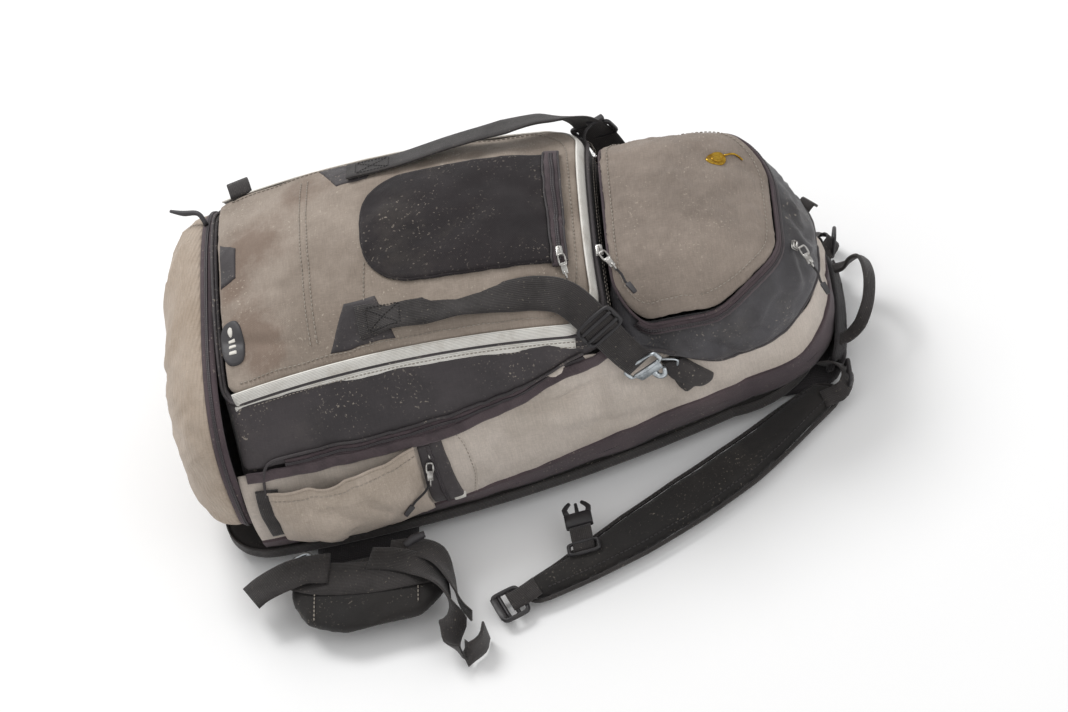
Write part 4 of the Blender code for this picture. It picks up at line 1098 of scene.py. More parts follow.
def trims():
    """The two off-white bands on each side of the flap's zip, and the zip between them."""
    line, facing = trim_path(FLAP_HALF + 0.0016, FLAP_X1 + 0.0016, 0.031, 0.0040)
    facing = unit(facing + rise(0.45))
    upper = strip("flap_trim", line, facing, 0.0118, 0.0016, WHITE_TAPE, 0.02, 0.0009)
    body_piece(upper, "front_flap", "white_tape", "flap_zip_tape")
    line, facing = trim_path(TRAY_HALF + 0.0018, TRAY_X1 + 0.0018, 0.031, 0.0146)
    facing = unit(facing + rise(0.30))
    flank = line[:, 0] < TRAY_X1 - 0.026
    count = len(line) // 2
    halves = [np.arange(len(line))[flank & (np.arange(len(line)) < count)]]
    halves.append(np.arange(len(line))[flank & (np.arange(len(line)) > count)])
    bands = [
        strip("tray_trim", line[part], facing[part], 0.0108, 0.0016, WHITE_TAPE, 0.02, 0.0012)
        for part in halves
    ]
    lower = join("tray_trim", bands)
    body_piece(lower, "bag", "white_tape", "tray_zip_tape")
    line, facing = trim_path(TRAY_HALF - 0.0005, TRAY_X1 - 0.0005, 0.030, 0.0096)
    zip_line("flap_zip_teeth", line, unit(facing + rise(0.5)), "bag", "dark_cloth", 0.0036)
    seam = []
    for shift, low in ((0.0034, 0.0118), (0.0042, 0.0172)):
        line, facing = trim_path(TRAY_HALF + shift, TRAY_X1 + shift, 0.031, low)
        seam.append(stitches("trim_stitch", line, facing, PALE_THREAD, 0.0036, 0.0024, 0.00035))
    seams = join("trim_stitches", seam)
    body_piece(seams, "bag", "white_tape")


def top_cover():
    def reach(x):
        return flap_reach(x, COVER_X0, COVER_X1, COVER_HALF, 0.026, 0.070)

    panel, x, y = pillow(
        "top_pocket_panel", COVER, COVER_X0, COVER_X1, reach, COVER_THICK, CLEAN_TAUPE, (90, 90), 0.005,
    )
    grime = grime_at(x, y, [((0.15, -0.05), 0.03, 0.4), ((0.2, 0.05), 0.03, 0.5)])
    set_values(panel, "grime", np.concatenate([grime.ravel(), grime.ravel()]))
    body_piece(panel, "top_pocket_cover", "taupe_cloth", "top_pocket_cover")
    plan = ring_outline(
        COVER_X0 - 0.0004, COVER_X1 + 0.0004, lambda x: COVER_HALF + 0.0004, 0.0265, 0.0705,
    )
    x, y = plan[:, 0], plan[:, 1]
    around = np.column_stack([x, y, cover_height(np.clip(x, COVER_X0, COVER_X1), y) - 0.0052])
    around = np.vstack([around, around[:1]])
    hinge_side = COVER_X0 + 0.012
    free = np.roll(plan, -int(np.argmax(plan[:, 0] < hinge_side)), axis=0)
    free = free[free[:, 0] > hinge_side]
    x, y = free[:, 0], free[:, 1]
    track = np.column_stack([x, y, cover_height(np.clip(x, COVER_X0, COVER_X1), y) - 0.0082])
    lower = track + out_of(track) * 0.0020
    tape = strip(
        "top_zip_tape", lower, unit(out_of(lower) + rise(0.5)), 0.0085, 0.0014, PLUM_TAPE,
        0.02, 0.0006,
    )
    body_piece(tape, "bag", "plum_tape")
    cord = tube("top_cover_piping", around + rise(0.0022), 0.0014, PLUM, 8, 0.02)
    body_piece(cord, "top_pocket_cover", "plum_tape")
    teeth = lower + out_of(lower) * 0.0012
    zip_line(
        "top_zip_teeth", teeth, unit(out_of(teeth) + rise(0.5)), "bag", "plum_tape", 0.0036,
    )
    spots = ring_outline(
        COVER_X0 + 0.007, COVER_X1 - 0.007, lambda x: COVER_HALF - 0.007, 0.020, 0.064, 120,
    )
    seam = COVER.seam("top_cover_stitches", [tuple(p) for p in spots], PALE_THREAD)
    body_piece(seam, "top_pocket_cover", "taupe_cloth")


# Bottom compartment and hoop band


def end_section(x, share, turns, push=0.0):
    c, s = np.cos(turns), np.sin(turns)
    power = np.where(s > 0, 3.0, 3.6)
    reach = np.where(s > 0, END_TOP - END_MIDDLE, END_MIDDLE - BASE)
    y = END_HALF * np.sign(c) * np.abs(c) ** (2 / power)
    z = reach * np.sign(s) * np.abs(s) ** (2 / power)
    size = np.hypot(y, z)
    grow = 1 + push / size
    return np.stack([x + 0 * y, y * share * grow, END_MIDDLE + z * share * grow], axis=-1)


def bottom_compartment():
    start, length = -0.2573, 0.0457
    turns = np.linspace(0, 2 * math.pi, 161)[:-1]
    grid = []
    for tilt in np.radians(np.append(np.linspace(0, 89, 33), 89.99)):
        share = math.cos(tilt) ** 0.62
        x = start - length * math.sin(tilt) / math.sin(math.radians(74))
        ring = end_section(x, share, turns)
        run = turns * 0.14
        bump = 0.0016 * rough(
            run, ring[:, 0] * 1.4, 0.045, 51,
        ) + 0.0012 * creases(run, ring[:, 0] * 1.4, 0.04, 52)
        bump = bump * ease(tilt, 0.0, 0.4) * share
        outward = unit(ring - np.array([start + 0.05, 0, END_MIDDLE]))
        grid.append(ring + outward * bump[:, None])
    outer = np.array(grid)
    inner = outer * np.array([1, 0.975, 1]) + np.array([0.0025, 0, 0])
    inner[..., 2] = END_MIDDLE + (outer[..., 2] - END_MIDDLE) * 0.97
    dome = skin("bottom_compartment_cloth", outer, inner, BOTTOM, wrap=True)
    body_piece(dome, "bag", "sand_cloth", "bottom_compartment")
    shares = np.linspace(1.0, 0.02, 14)
    disc = np.array([end_section(start - 0.001, share, turns, -0.002) for share in shares])
    divider = skin("bottom_divider", disc, disc - np.array([0.0015, 0, 0]), LINING, wrap=True, flip=True)
    body_piece(divider, "bag", "sand_cloth")
    rings = []
    for turn in np.linspace(0, 2 * math.pi, 13)[:-1]:
        x = -0.2511 + 0.0062 * math.cos(turn)
        rings.append(end_section(x, 1.0, turns, 0.0035 * math.sin(turn) - 0.0018))
    hoop = np.array(rings)
    rows, columns = hoop.shape[:2]
    faces = grid_faces(rows, columns, 0, wrap=True, flip=True)
    last = (rows - 1) * columns
    for j in range(columns):
        k = (j + 1) % columns
        faces.append((j, k, last + k, last + j))
    band = add_mesh("hoop_band_cloth", hoop.reshape(-1, 3), faces, PLUM)
    body_piece(band, "bag", "plum_tape", "bottom_zip_band")
    closed = np.vstack(
        [end_section(-0.2511, 1.0, turns, 0.0019), end_section(-0.2511, 1.0, turns, 0.0019)[:1]]
    )
    middle = rise(END_MIDDLE)
    zip_line(
        "hoop_zip_teeth", closed, unit((closed - middle) * np.array([0, 1, 1])), "bag", "plum_tape",
        0.0036,
    )


# Side walls: pockets, zips, seams and patches


def side_pocket(tag, side):
    name = f"side_pocket_cloth_{tag}"
    wall = WALLS[side]
    s, t = np.meshgrid(np.linspace(0, 1, 60), np.linspace(0, 1, 34), indexing="ij")
    x = -0.222 + 0.132 * s
    hem = 0.1010 + 0.010 * s - 0.004 * np.sin(math.pi * s)
    z = 0.0400 + (hem - 0.0400) * t
    side_way = np.sin(math.pi * s**0.8) ** 0.7
    up_way = np.sin(math.pi * (0.06 + 0.80 * t)) ** 0.7
    bulge = 0.0040 + 0.0180 * side_way * up_way
    sag = [
        ((-0.205, 0.092), (-0.150, 0.070), 0.006, -0.0030),
        ((-0.150, 0.096), (-0.120, 0.060), 0.005, -0.0022),
        ((-0.200, 0.060), (-0.160, 0.050), 0.008, 0.0028),
        ((-0.190, 0.085), (-0.120, 0.092), 0.004, 0.0018),
    ]
    relief = folds(x, z, sag) + 0.0011 * rough(x, z, 0.045, 61 + side)
    lift = (bulge + relief * np.sin(math.pi * s) ** 0.5 * ease(t, 0, 0.15)) * 1.0 + 0.001
    outer = wall.place(x, z, lift)
    cloth_piece = sheet(name, outer, 0.0011, POCKET, flip=side > 0)
    grime = grime_at(x, z, [((-0.20, 0.05), 0.03, 0.5), ((-0.13, 0.06), 0.03, 0.25)])
    set_values(cloth_piece, "grime", np.concatenate([grime.ravel(), grime.ravel()]))
    body_piece(cloth_piece, "bag", "taupe_cloth", f"side_pocket_{tag}")
    line = outer[:, -1]
    body_piece(tube(name + "_hem", line, 0.0013, POCKET, 8, 0.01), "bag", "taupe_cloth")
    under = outer[:, -4]
    body_piece(
        stitches(name + "_stitches", under, wall.normal(x[:, -4], z[:, -4]), PALE_THREAD), "bag",
        "taupe_cloth",
    )
    gusset = [(-0.2225, 0.104), (-0.2235, 0.080), (-0.2225, 0.050)]
    body_piece(wall.ribbon(name + "_webbing", gusset, 0.020, 0.0016, WEBBING, 0.0045), "bag", "webbing")


def side_details(side):
    """Zips, seams and patches on one side wall."""
    wall = WALLS[side]
    tag = "right" if side < 0 else "left"
    route = [
        (-0.224, 0.098), (-0.222, 0.112), (-0.216, 0.124), (-0.200, 0.128), (-0.150, 0.1285),
        (-0.090, 0.1290), (-0.030, 0.1320), (0.020, 0.1400), (0.070, 0.1530),
    ]
    lower = [(x, z - 0.0062) for x, z in route[3:]]
    body_piece(
        wall.ribbon(f"side_zip_tape_{tag}", lower, 0.0100, 0.0012, PLUM_TAPE, 0.0030), "bag", "plum_tape",
    )
    line, facing = wall.line(route, 0.0042)
    body_piece(tube(f"side_panel_piping_{tag}", line, 0.0013, DARK, 8, 0.01), "bag", "dark_cloth")
    line, facing = wall.line([(x, z - 0.0056) for x, z in route[3:]], 0.0040)
    zip_line(f"side_zip_teeth_{tag}", line, facing, "bag", "dark_cloth", 0.0032)
    strap = wall.patch(
        f"side_strip_{tag}", [(-0.088, 0.112), (-0.066, 0.116), (-0.061, 0.044), (-0.090, 0.044)][::side],
        0.0040, DARK,
    )
    body_piece(strap, "bag", "dark_cloth")
    line, facing = wall.line([(-0.078, 0.111), (-0.077, 0.080), (-0.0755, 0.046)], 0.0044)
    zip_line(f"pocket_zip_line_{tag}", line, facing, "bag", "dark_cloth", 0.0036)
    bar_tab = wall.patch(
        f"side_bar_{tag}", [(-0.072, 0.050), (-0.060, 0.050), (-0.060, 0.046), (-0.072, 0.046)][::side],
        0.0052, WHITE_TAPE, (8, 6), 0.001,
    )
    body_piece(bar_tab, "bag", "white_tape")
    border = [(x, float(split_height(x - TAIL)) - 0.0020) for x in np.linspace(-0.236, 0.100, 16)]
    body_piece(
        wall.ribbon(f"side_binding_{tag}", border, 0.0095, 0.0024, PLUM_TAPE, 0.0038), "bag", "plum_tape",
    )
    seams = [
        wall.seam(
            "seam", [(-0.056, 0.118), (-0.048, 0.100), (-0.047, 0.070), (-0.054, 0.042)], PALE_THREAD,
            0.0010,
        )
    ]
    seams.append(wall.seam("seam", [(x, z - 0.016) for x, z in route[4:]], PALE_THREAD, 0.0010))
    body_piece(join(f"side_seams_{tag}", seams), "bag", "sand_cloth")
    edge = [(-0.056, 0.1175), (-0.048, 0.100), (-0.047, 0.070), (-0.054, 0.042)]
    line, facing = wall.line([(x + 0.0022, z) for x, z in edge], 0.0008)
    body_piece(tube(f"side_seam_welt_{tag}", line, 0.0009, SAND, 8, 0.01), "bag", "sand_cloth")
    anchor = [(0.128, 0.114), (0.142, 0.118), (0.171, 0.082), (0.140, 0.078)][::side]
    patch = wall.patch(f"hook_anchor_cloth_{tag}", anchor, 0.0085, WEBBING_CLOTH, (20, 20))
    body_piece(patch, "bag", "webbing", f"hook_anchor_{tag}")
    ring = ring_tube(
        f"anchor_ring_{tag}", wall.place(0.134, 0.116, 0.0085), (0.3, 0, 1), (1, 0, -0.3), 0.010, 0.018,
        0.0013, ALUMINIUM,
    )
    body_piece(ring, "bag", "aluminium")


def ring_tube(name, centre, u, v, length, width, radius, material, power=4.0, sides=10):
    """A rounded rectangular ring of round wire, such as a loop or a buckle's frame."""
    u = unit(u)
    w = unit(np.cross(u, unit(v)))
    v = np.cross(w, u)
    turns = np.linspace(0, 2 * math.pi, 49)
    c, s = np.cos(turns), np.sin(turns)
    p = np.sign(c) * np.abs(c) ** (2 / power) * length / 2
    q = np.sign(s) * np.abs(s) ** (2 / power) * width / 2
    line = np.asarray(centre) + p[:, None] * u + q[:, None] * v
    out = unit(line - np.asarray(centre))
    rings = []
    for turn in np.linspace(0, 2 * math.pi, sides, endpoint=False):
        rings.append(line[:-1] + out[:-1] * radius * math.cos(turn) + w * radius * math.sin(turn))
    grid = np.stack(rings, axis=1)
    rows = len(grid)
    faces = []
    for i in range(rows):
        for j in range(sides):
            k, m = (j + 1) % sides, (i + 1) % rows
            faces.append((i * sides + j, i * sides + k, m * sides + k, m * sides + j))
    return add_mesh(name, grid.reshape(-1, 3), faces, material)


def rounded_block(name, centre, u, v, size, material, power=5.0, taper=1.0):
    """A block with soft edges; taper narrows its far end."""
    u = unit(u)
    w = unit(np.cross(u, unit(v)))
    v = np.cross(w, u)
    rings = []
    turns = np.linspace(0, 2 * math.pi, 24, endpoint=False)
    c, s = np.cos(turns), np.sin(turns)
    p = np.sign(c) * np.abs(c) ** (2 / power)
    q = np.sign(s) * np.abs(s) ** (2 / power)
    stations = [
        (-1.0, 0.0), (-1.0, 0.72), (-0.97, 0.90), (-0.90, 1.0), (0.90, 1.0), (0.97, 0.90), (1.0, 0.72),
        (1.0, 0.0),
    ]
    for place, share in stations:
        narrow = 1 + (taper - 1) * (place + 1) / 2
        middle = np.asarray(centre) + u * place * size[0] / 2
        rings.append(
            middle + p[:, None] * v * size[1] / 2 * share * narrow + q[:, None] * w * size[2] / 2 * share
        )
    return solid(name, np.array(rings), material, flip=True, caps=False)


def pull(name, node, body, along, ring_side, length, cord=True, trail=None, reach=0.022):
    """A zip pull: a cast link, a ring and a cord with a rubber end."""
    centre = centre_of(node)
    along, side = unit(along), unit(ring_side)
    start = centre - along * length / 2
    pieces = [ring_tube("link", start + along * 0.005, along, side, 0.010, 0.0058, 0.0010, STEEL)]
    pieces.append(
        rounded_block("plate", start + along * 0.0125, along, side, (0.010, 0.0052, 0.0016), STEEL)
    )
    pieces.append(
        ring_tube(
            "ring", start + along * 0.0185, along, np.cross(along, side), 0.0066, 0.0056, 0.0007, STEEL,
        )
    )
    body_piece(join(name + "_metal", pieces), body, "zip_metal", node)
    if cord:
        end = start + along * 0.020
        away = along if trail is None else unit(trail)
        path = [
            end, end + away * reach * 0.36 + side * 0.0010, end + away * reach * 0.72 - side * 0.0008,
            end + away * reach,
        ]
        parts = [tube("cord", path, 0.0011, THREAD, 8)]
        parts.append(
            rounded_block(
                "grip", end + away * (reach + 0.002), away, side, (0.011, 0.0050, 0.0034), LABEL,
                taper=0.8,
            )
        )
        body_piece(join(name + "_cord", parts), body, "zip_metal")


def slider(name, node, body, along, up):
    """A zip slider: a waisted body with a bridge on top."""
    centre = centre_of(node)
    along, up = unit(along), unit(up)
    across = np.cross(up, along)
    parts = [
        rounded_block(
            "base", centre - up * 0.0010, along, across, (0.0100, 0.0068, 0.0012), STEEL, taper=0.8,
        )
    ]
    parts.append(
        rounded_block(
            "cover", centre + up * 0.0006, along, across, (0.0092, 0.0060, 0.0012), STEEL, taper=0.7,
        )
    )
    path = [
        centre + along * s * 0.0032 + up * (0.0012 + 0.0016 * (1 - s * s))
        for s in np.linspace(-1, 1, 9)
    ]
    parts.append(tube("bridge", path, 0.0008, STEEL, 8, 0.001))
    body_piece(join(name, parts), body, "zip_metal", node)


def zip_hardware():
    up = (0.0, -0.35, 1.0)
    slider("flap_slider", "flap_zip_slider", "flap_zip_slider", (0, 1, 0.3), up)
    pull("flap_pull", "flap_zip_pull", "flap_zip_pull", (0.5, -0.85, -0.3), (0.86, 0.5, 0.0), 0.022)
    slider("pocket_slider", "pocket_zip_slider", "pocket_zip_slider", (0, 1, 0.3), (0, -0.3, 1))
    pull(
        "pocket_pull", "pocket_zip_pull", "pocket_zip_pull", (0.1, -1.0, -0.75), (1, 0, 0), 0.012,
        cord=False,
    )
    slider("side_slider", "side_zip_slider", "side_zip_slider", (0, 0.29, 0.96), (0, -1, 0.3))
    pull(
        "side_pull", "side_zip_pull", "side_zip_pull", (-0.2, -0.29, -0.94), (1, 0, -0.2), 0.020,
        trail=(-0.75, -0.30, -0.58), reach=0.030,
    )
    slider("top_slider", "top_zip_slider", "top_zip_slider", (0, 1, 0), (1, 0, 0.8))
    pull("top_pull", "top_zip_pull", "top_zip_pull", (0.35, -0.9, -0.4), (0.9, 0.35, 0), 0.022)


# Straps


def ski_strap(side, path, normals, tag, widths):
    """Ski webbing with box stitching at its sewn end, its metal hook and its plastic lock."""
    strap = strip(f"ski_webbing_{tag}", path, normals, widths, 0.0022, WEBBING, 0.004)
    body_piece(strap, f"ski_strap_{tag}", "webbing", f"ski_strap_{tag}")
    line = smooth_path(path, 0.004)
    facing = unit(spread(normals, len(line)))
    tangent = unit(np.gradient(line, axis=0))
    across = unit(np.cross(facing, tangent))
    up = np.cross(tangent, across)
    rows = [line[2:10] + across[2:10] * shift + up[2:10] * 0.0014 for shift in (-0.011, 0.011)]
    for end in (2, 9):
        shifts = np.linspace(-0.011, 0.011, 6)
        rows.append(np.array([line[end] + across[end] * s + up[end] * 0.0014 for s in shifts]))
    for turn in (1, -1):
        shifts = enumerate(turn * np.linspace(-0.011, 0.011, 8), start=2)
        rows.append(np.array([line[i] + across[i] * s + up[i] * 0.0014 for i, s in shifts]))
    sewn = [
        stitches("box", row, np.tile(up[5], (len(row), 1)), THREAD, 0.0030, 0.0022, 0.0004)
        for row in rows
    ]
    body_piece(join(f"ski_strap_stitches_{tag}", sewn), f"ski_strap_{tag}", "webbing")
    centre = centre_of(f"ski_hook_{tag}")
    along, wide = unit((0.0105, 0.0030 * side, -0.0165)), unit((1.0, 0.1 * side, 0.6))
    out = unit(np.cross(along, wide)) * (1 if side < 0 else -1)
    parts = [
        ring_tube("frame", centre - along * 0.006, along, wide, 0.011, 0.036, 0.0019, ALUMINIUM, 5.0)
    ]
    parts.append(
        rounded_block(
            "plate", centre + along * 0.0015, along, wide, (0.009, 0.030, 0.0030), ALUMINIUM, taper=0.85,
        )
    )
    hook = [
        centre + along * 0.005 + wide * 0.002, centre + along * 0.011 + wide * 0.003 + out * 0.0008,
        centre + along * 0.0125 + wide * 0.008 + out * 0.0010, centre + along * 0.007 + wide * 0.0125,
    ]
    parts.append(tube("hook", hook, [0.0030, 0.0026, 0.0023, 0.0016], ALUMINIUM, 12, 0.002))
    body_piece(join(f"ski_hook_metal_{tag}", parts), f"ski_strap_{tag}", "aluminium", f"ski_hook_{tag}")
    lock_at = line[-12]
    parts = [ring_tube("lock", lock_at, tangent[-12], across[-12], 0.020, 0.036, 0.0021, PLASTIC, 6.0)]
    for shift in (-0.004, 0.004):
        bar_path = [lock_at + tangent[-12] * shift + across[-12] * s for s in (-0.017, 0.0, 0.017)]
        parts.append(tube("bar", [p + up[-12] * 0.0016 for p in bar_path], 0.0017, PLASTIC, 10, 0.004))
    body_piece(join(f"ski_lock_{tag}", parts), f"ski_strap_{tag}", "webbing")


def ski_straps():
    right, normals = [], []
    for x in (-0.112, -0.070, -0.025, 0.020, 0.044):
        right.append(FLAP.place(x, -0.082, 0.0028))
        normals.append(FLAP.normal(x, -0.082) + np.array([0.0, 0.40, 0.0]))
    normals[0] = FLAP.normal(-0.112, -0.082)
    right += [
        (0.068, -0.0950, 0.2000), (0.088, -0.1110, 0.1800), (0.100, -0.1185, 0.1590),
        (0.109, -0.1215, 0.1420), (0.1155, -0.1234, 0.1325),
    ]
    normals += [
        (0.3, -0.5, 0.8), (0.45, -0.75, 0.5), (0.2, -0.92, 0.3), (0.0, -0.97, 0.2), (0.0, -0.97, 0.2),
    ]
    ski_strap(-1, right, normals, "right", [0.030])
    left = [
        FLAP.place(-0.112, 0.077, 0.0028), (-0.070, 0.080, 0.2285), (-0.020, 0.085, 0.2320),
        (0.020, 0.090, 0.2315), (0.058, 0.099, 0.2250), (0.088, 0.1110, 0.2040), (0.100, 0.1185, 0.1750),
        (0.109, 0.1215, 0.1420), (0.1155, 0.1234, 0.1325),
    ]
    facing = [
        FLAP.normal(-0.112, 0.077), (-0.2, 0.4, 0.9), (-0.1, 0.4, 0.9), (0.0, 0.4, 0.9), (0.4, 0.4, 0.8),
        (0.7, 0.6, 0.4), (0.4, 0.9, 0.2), (0.0, 0.97, 0.2), (0.0, 0.97, 0.2),
    ]
    ski_strap(1, left, facing, "left", [0.030])


# Padding


def inflate(obj, cap, pressure=4.0, voxel=0.005):
    """Swells a pad by a cloth simulation and keeps the result; no point moves further than the cap."""
    for polygon in obj.data.polygons:
        polygon.use_smooth = True
    scene = bpy.context.scene
    remesh = obj.modifiers.new("remesh", "REMESH")
    remesh.mode, remesh.voxel_size, remesh.use_smooth_shade = "VOXEL", voxel, True
    graph = bpy.context.evaluated_depsgraph_get()
    mesh = bpy.data.meshes.new_from_object(obj.evaluated_get(graph))
    obj.modifiers.clear()
    obj.data = mesh
    start = np.empty(len(mesh.vertices) * 3)
    mesh.vertices.foreach_get("co", start)
    cloth_mod = obj.modifiers.new("cloth", "CLOTH")
    settings = cloth_mod.settings
    settings.use_pressure, settings.uniform_pressure_force = True, pressure
    settings.effector_weights.gravity = 0.0
    settings.quality, settings.mass = 4, 0.25
    settings.tension_stiffness = settings.compression_stiffness = 12.0
    settings.bending_stiffness = 0.4
    for step in range(1, 21):
        scene.frame_set(step)
    graph = bpy.context.evaluated_depsgraph_get()
    swollen = obj.evaluated_get(graph).data
    end = np.empty(len(start))
    swollen.vertices.foreach_get("co", end)
    obj.modifiers.clear()
    scene.frame_set(1)
    move = (end - start).reshape(-1, 3)
    length = np.linalg.norm(move, axis=1, keepdims=True)
    move = move * np.minimum(1.0, cap / np.maximum(length, 1e-9))
    mesh.vertices.foreach_set("co", (start.reshape(-1, 3) + move).ravel())
    for polygon in mesh.polygons:
        polygon.use_smooth = True
    obj.modifiers.new("finer", "SUBSURF").levels = 1
    obj.modifiers["finer"].render_levels = 1
    return obj


def closed_in(rings, middle, shares):
    """Adds smaller copies of the lowest ring below and of the highest above, down to the middle."""

    def shrunk(ring, share):
        return np.column_stack([middle + (ring[:, :2] - middle) * share, ring[:, 2]])

    below = [shrunk(rings[0], share) for share in shares]
    above = [shrunk(rings[-1], share) for share in reversed(shares)]
    return np.array(below + list(rings) + above)


def pad(name, outline, low, high, material, body, slot, node, cap=0.004, roll=0.010, count=96, lift=None):
    """A padded piece from its outline: rolled at the edges, crowned, and swollen by simulation."""
    outline = np.array(list(outline) + [outline[0]], dtype=float)
    run = run_along(outline)
    places = np.linspace(0, run[-1], count, endpoint=False)
    rim = np.stack([np.interp(places, run, outline[:, k]) for k in range(2)], axis=1)
    for _ in range(3):
        rim = (np.roll(rim, 1, axis=0) + 2 * rim + np.roll(rim, -1, axis=0)) / 4
    middle = rim.mean(axis=0)
    half = (high - low) / 2 - 0.001
    side_rings = []
    for turn in np.linspace(0, math.pi, 15):
        inset = roll * (1 - math.sin(turn) ** 0.8) if turn < math.pi else roll
        shrink = 1 - inset / np.maximum(np.linalg.norm(rim - middle, axis=1), 0.02)
        flat = middle + (rim - middle) * shrink[:, None]
        z = np.full(count, (low + high) / 2 - half * math.cos(turn))
        side_rings.append(np.column_stack([flat, z]))
    grid = closed_in(side_rings, middle, (0.02, 0.35, 0.7))
    if lift is not None:
        grid[..., 2] += lift(grid[..., 0], grid[..., 1])
    obj = solid(name, grid, material, flip=True)
    inflate(obj, cap)
    body_piece(obj, body, slot, *([node] if node else []))
    return obj


def padded_strap(name, path, widths, thick, material, body, node, cap=0.003):
    """A curved foam strap with round edges and closed ends."""
    line = smooth_path(path, 0.006)
    widths = np.interp(np.linspace(0, 1, len(line)), np.linspace(0, 1, len(widths)), widths)
    tangent = unit(np.gradient(line, axis=0))
    across = unit(np.cross((0.0, 0.0, 1.0), tangent))
    rise = np.cross(tangent, across)
    turns = np.linspace(0, 2 * math.pi, 28, endpoint=False)
    c, s = np.cos(turns), np.sin(turns)
    p = np.sign(c) * np.abs(c) ** (2 / 3.0)
    q = np.sign(s) * np.abs(s) ** (2 / 2.2)
    run = np.linspace(0, 1, len(line))
    close = np.sqrt(np.clip(1 - (1 - np.clip(np.minimum(run, 1 - run) / 0.05, 0, 1)) ** 2, 0.02, 1))
    grid = line[:, None] + across[:, None] * (p[None, :] * (widths * close)[:, None] / 2)[..., None]
    grid = grid + rise[:, None] * (q[None, :] * (thick / 2 * close)[:, None])[..., None]
    obj = solid(name, grid, material, flip=True)
    inflate(obj, cap)
    body_piece(obj, body, "harness_foam", node)
    binding = []
    for sign in (-1, 1):
        edge = line + across * (widths * close / 2 - 0.0006)[:, None] * sign
        binding.append(tube("edge", edge, 0.0019, WEBBING, 8, 0.01))
    body_piece(join(name + "_binding", binding), body, "harness_foam")
    return line, across, widths


def shoulder_strap(tag, side):
    """A shoulder strap with bound edges, two rows of stitches, a webbing tongue and a ladder lock."""
    route = [
        (0.262, -0.080), (0.228, -0.106), (0.177, -0.145), (0.123, -0.178), (0.068, -0.208),
        (0.014, -0.2345), (-0.022, -0.249),
    ]
    path = [(x, y if side < 0 else -y, 0.0100) for x, y in route]
    body = f"shoulder_strap_{tag}"
    line, across, widths = padded_strap(
        body + "_pad", path, [0.030, 0.042, 0.052, 0.054, 0.050, 0.038, 0.024], 0.0125, PAD_CLOTH, body,
        body,
    )
    inner, reach = slice(3, -3), (widths[3:-3] / 2 - 0.007)[:, None]
    rows = []
    for sign in (-1, 1):
        row = line[inner] + across[inner] * reach * sign + rise(0.0066)
        rows.append(stitches("row", row, [UP] * (len(line) - 6)))
    body_piece(join(body + "_stitches", rows), body, "harness_foam")
    tip, before = line[-1], line[-4]
    along = unit(tip - before)
    wide = np.array([-along[1], along[0], 0])
    centre = tip + along * 0.0135
    tongue = [
        tip - along * 0.014 + rise(0.0060), tip + rise(0.0030),
        centre + rise(0.0022),
    ]
    body_piece(strip(body + "_tongue", tongue, [UP] * 3, 0.021, 0.0020, WEBBING, 0.003), body, "webbing")
    parts = [ring_tube("frame", centre, along, wide, 0.024, 0.031, 0.0022, PLASTIC, 6.0)]
    for shift in (-0.003, 0.006):
        bar = [centre + along * shift + wide * s for s in (-0.014, 0, 0.014)]
        parts.append(tube("bar", bar, 0.0019, PLASTIC, 10, 0.004))
    parts.append(
        rounded_block(
            "lip", centre + along * 0.011 + rise(0.001), along, wide, (0.006, 0.026, 0.0028),
            PLASTIC,
        )
    )
    body_piece(join(body + "_ladder_lock", parts), body, "buckle_plastic", f"ladder_lock_{tag}")


def sternum(tag, half, side):
    """One half of the chest buckle on its short webbing and slider."""
    node = f"sternum_buckle_{half}"
    centre = centre_of(node)
    inward = unit((-0.1, -side, 0.0))
    wide = np.array([1.0, 0.0, 0.0])
    body = f"sternum_{tag}"
    start = centre - inward * 0.030
    path = [
        start - rise(0.003), start + inward * 0.008, start + inward * 0.018,
        centre - inward * 0.002,
    ]
    body_piece(strip(f"sternum_webbing_{tag}", path, [UP] * 4, 0.019, 0.0018, WEBBING), body, "webbing")
    parts = [ring_tube("slide", start + inward * 0.003, inward, wide, 0.012, 0.026, 0.0019, PLASTIC, 6.0)]
    if half == "male":
        parts.append(
            rounded_block("body", centre + inward * 0.004, inward, wide, (0.014, 0.024, 0.0070), PLASTIC)
        )
        for reach, out in ((-0.0085, 1), (0.0085, -1)):
            prong = [
                centre + inward * 0.010 + wide * reach,
                centre + inward * 0.018 + wide * (reach + 0.0020 * -out),
                centre + inward * 0.0245 + wide * reach * 0.62,
            ]
            parts.append(tube("prong", prong, [0.0026, 0.0024, 0.0016], PLASTIC, 10, 0.003))
        parts.append(
            tube(
                "guide", [centre + inward * 0.010, centre + inward * 0.023], [0.0020, 0.0014], PLASTIC,
                10, 0.003,
            )
        )
    else:
        parts.append(
            rounded_block(
                "body", centre + inward * 0.010, inward, wide, (0.028, 0.023, 0.0078), PLASTIC, taper=0.9,
            )
        )
        parts.append(
            rounded_block("end", centre - inward * 0.008, inward, wide, (0.010, 0.024, 0.0060), PLASTIC)
        )
    body_piece(join(f"sternum_half_{tag}", parts), body, "buckle_plastic", node)


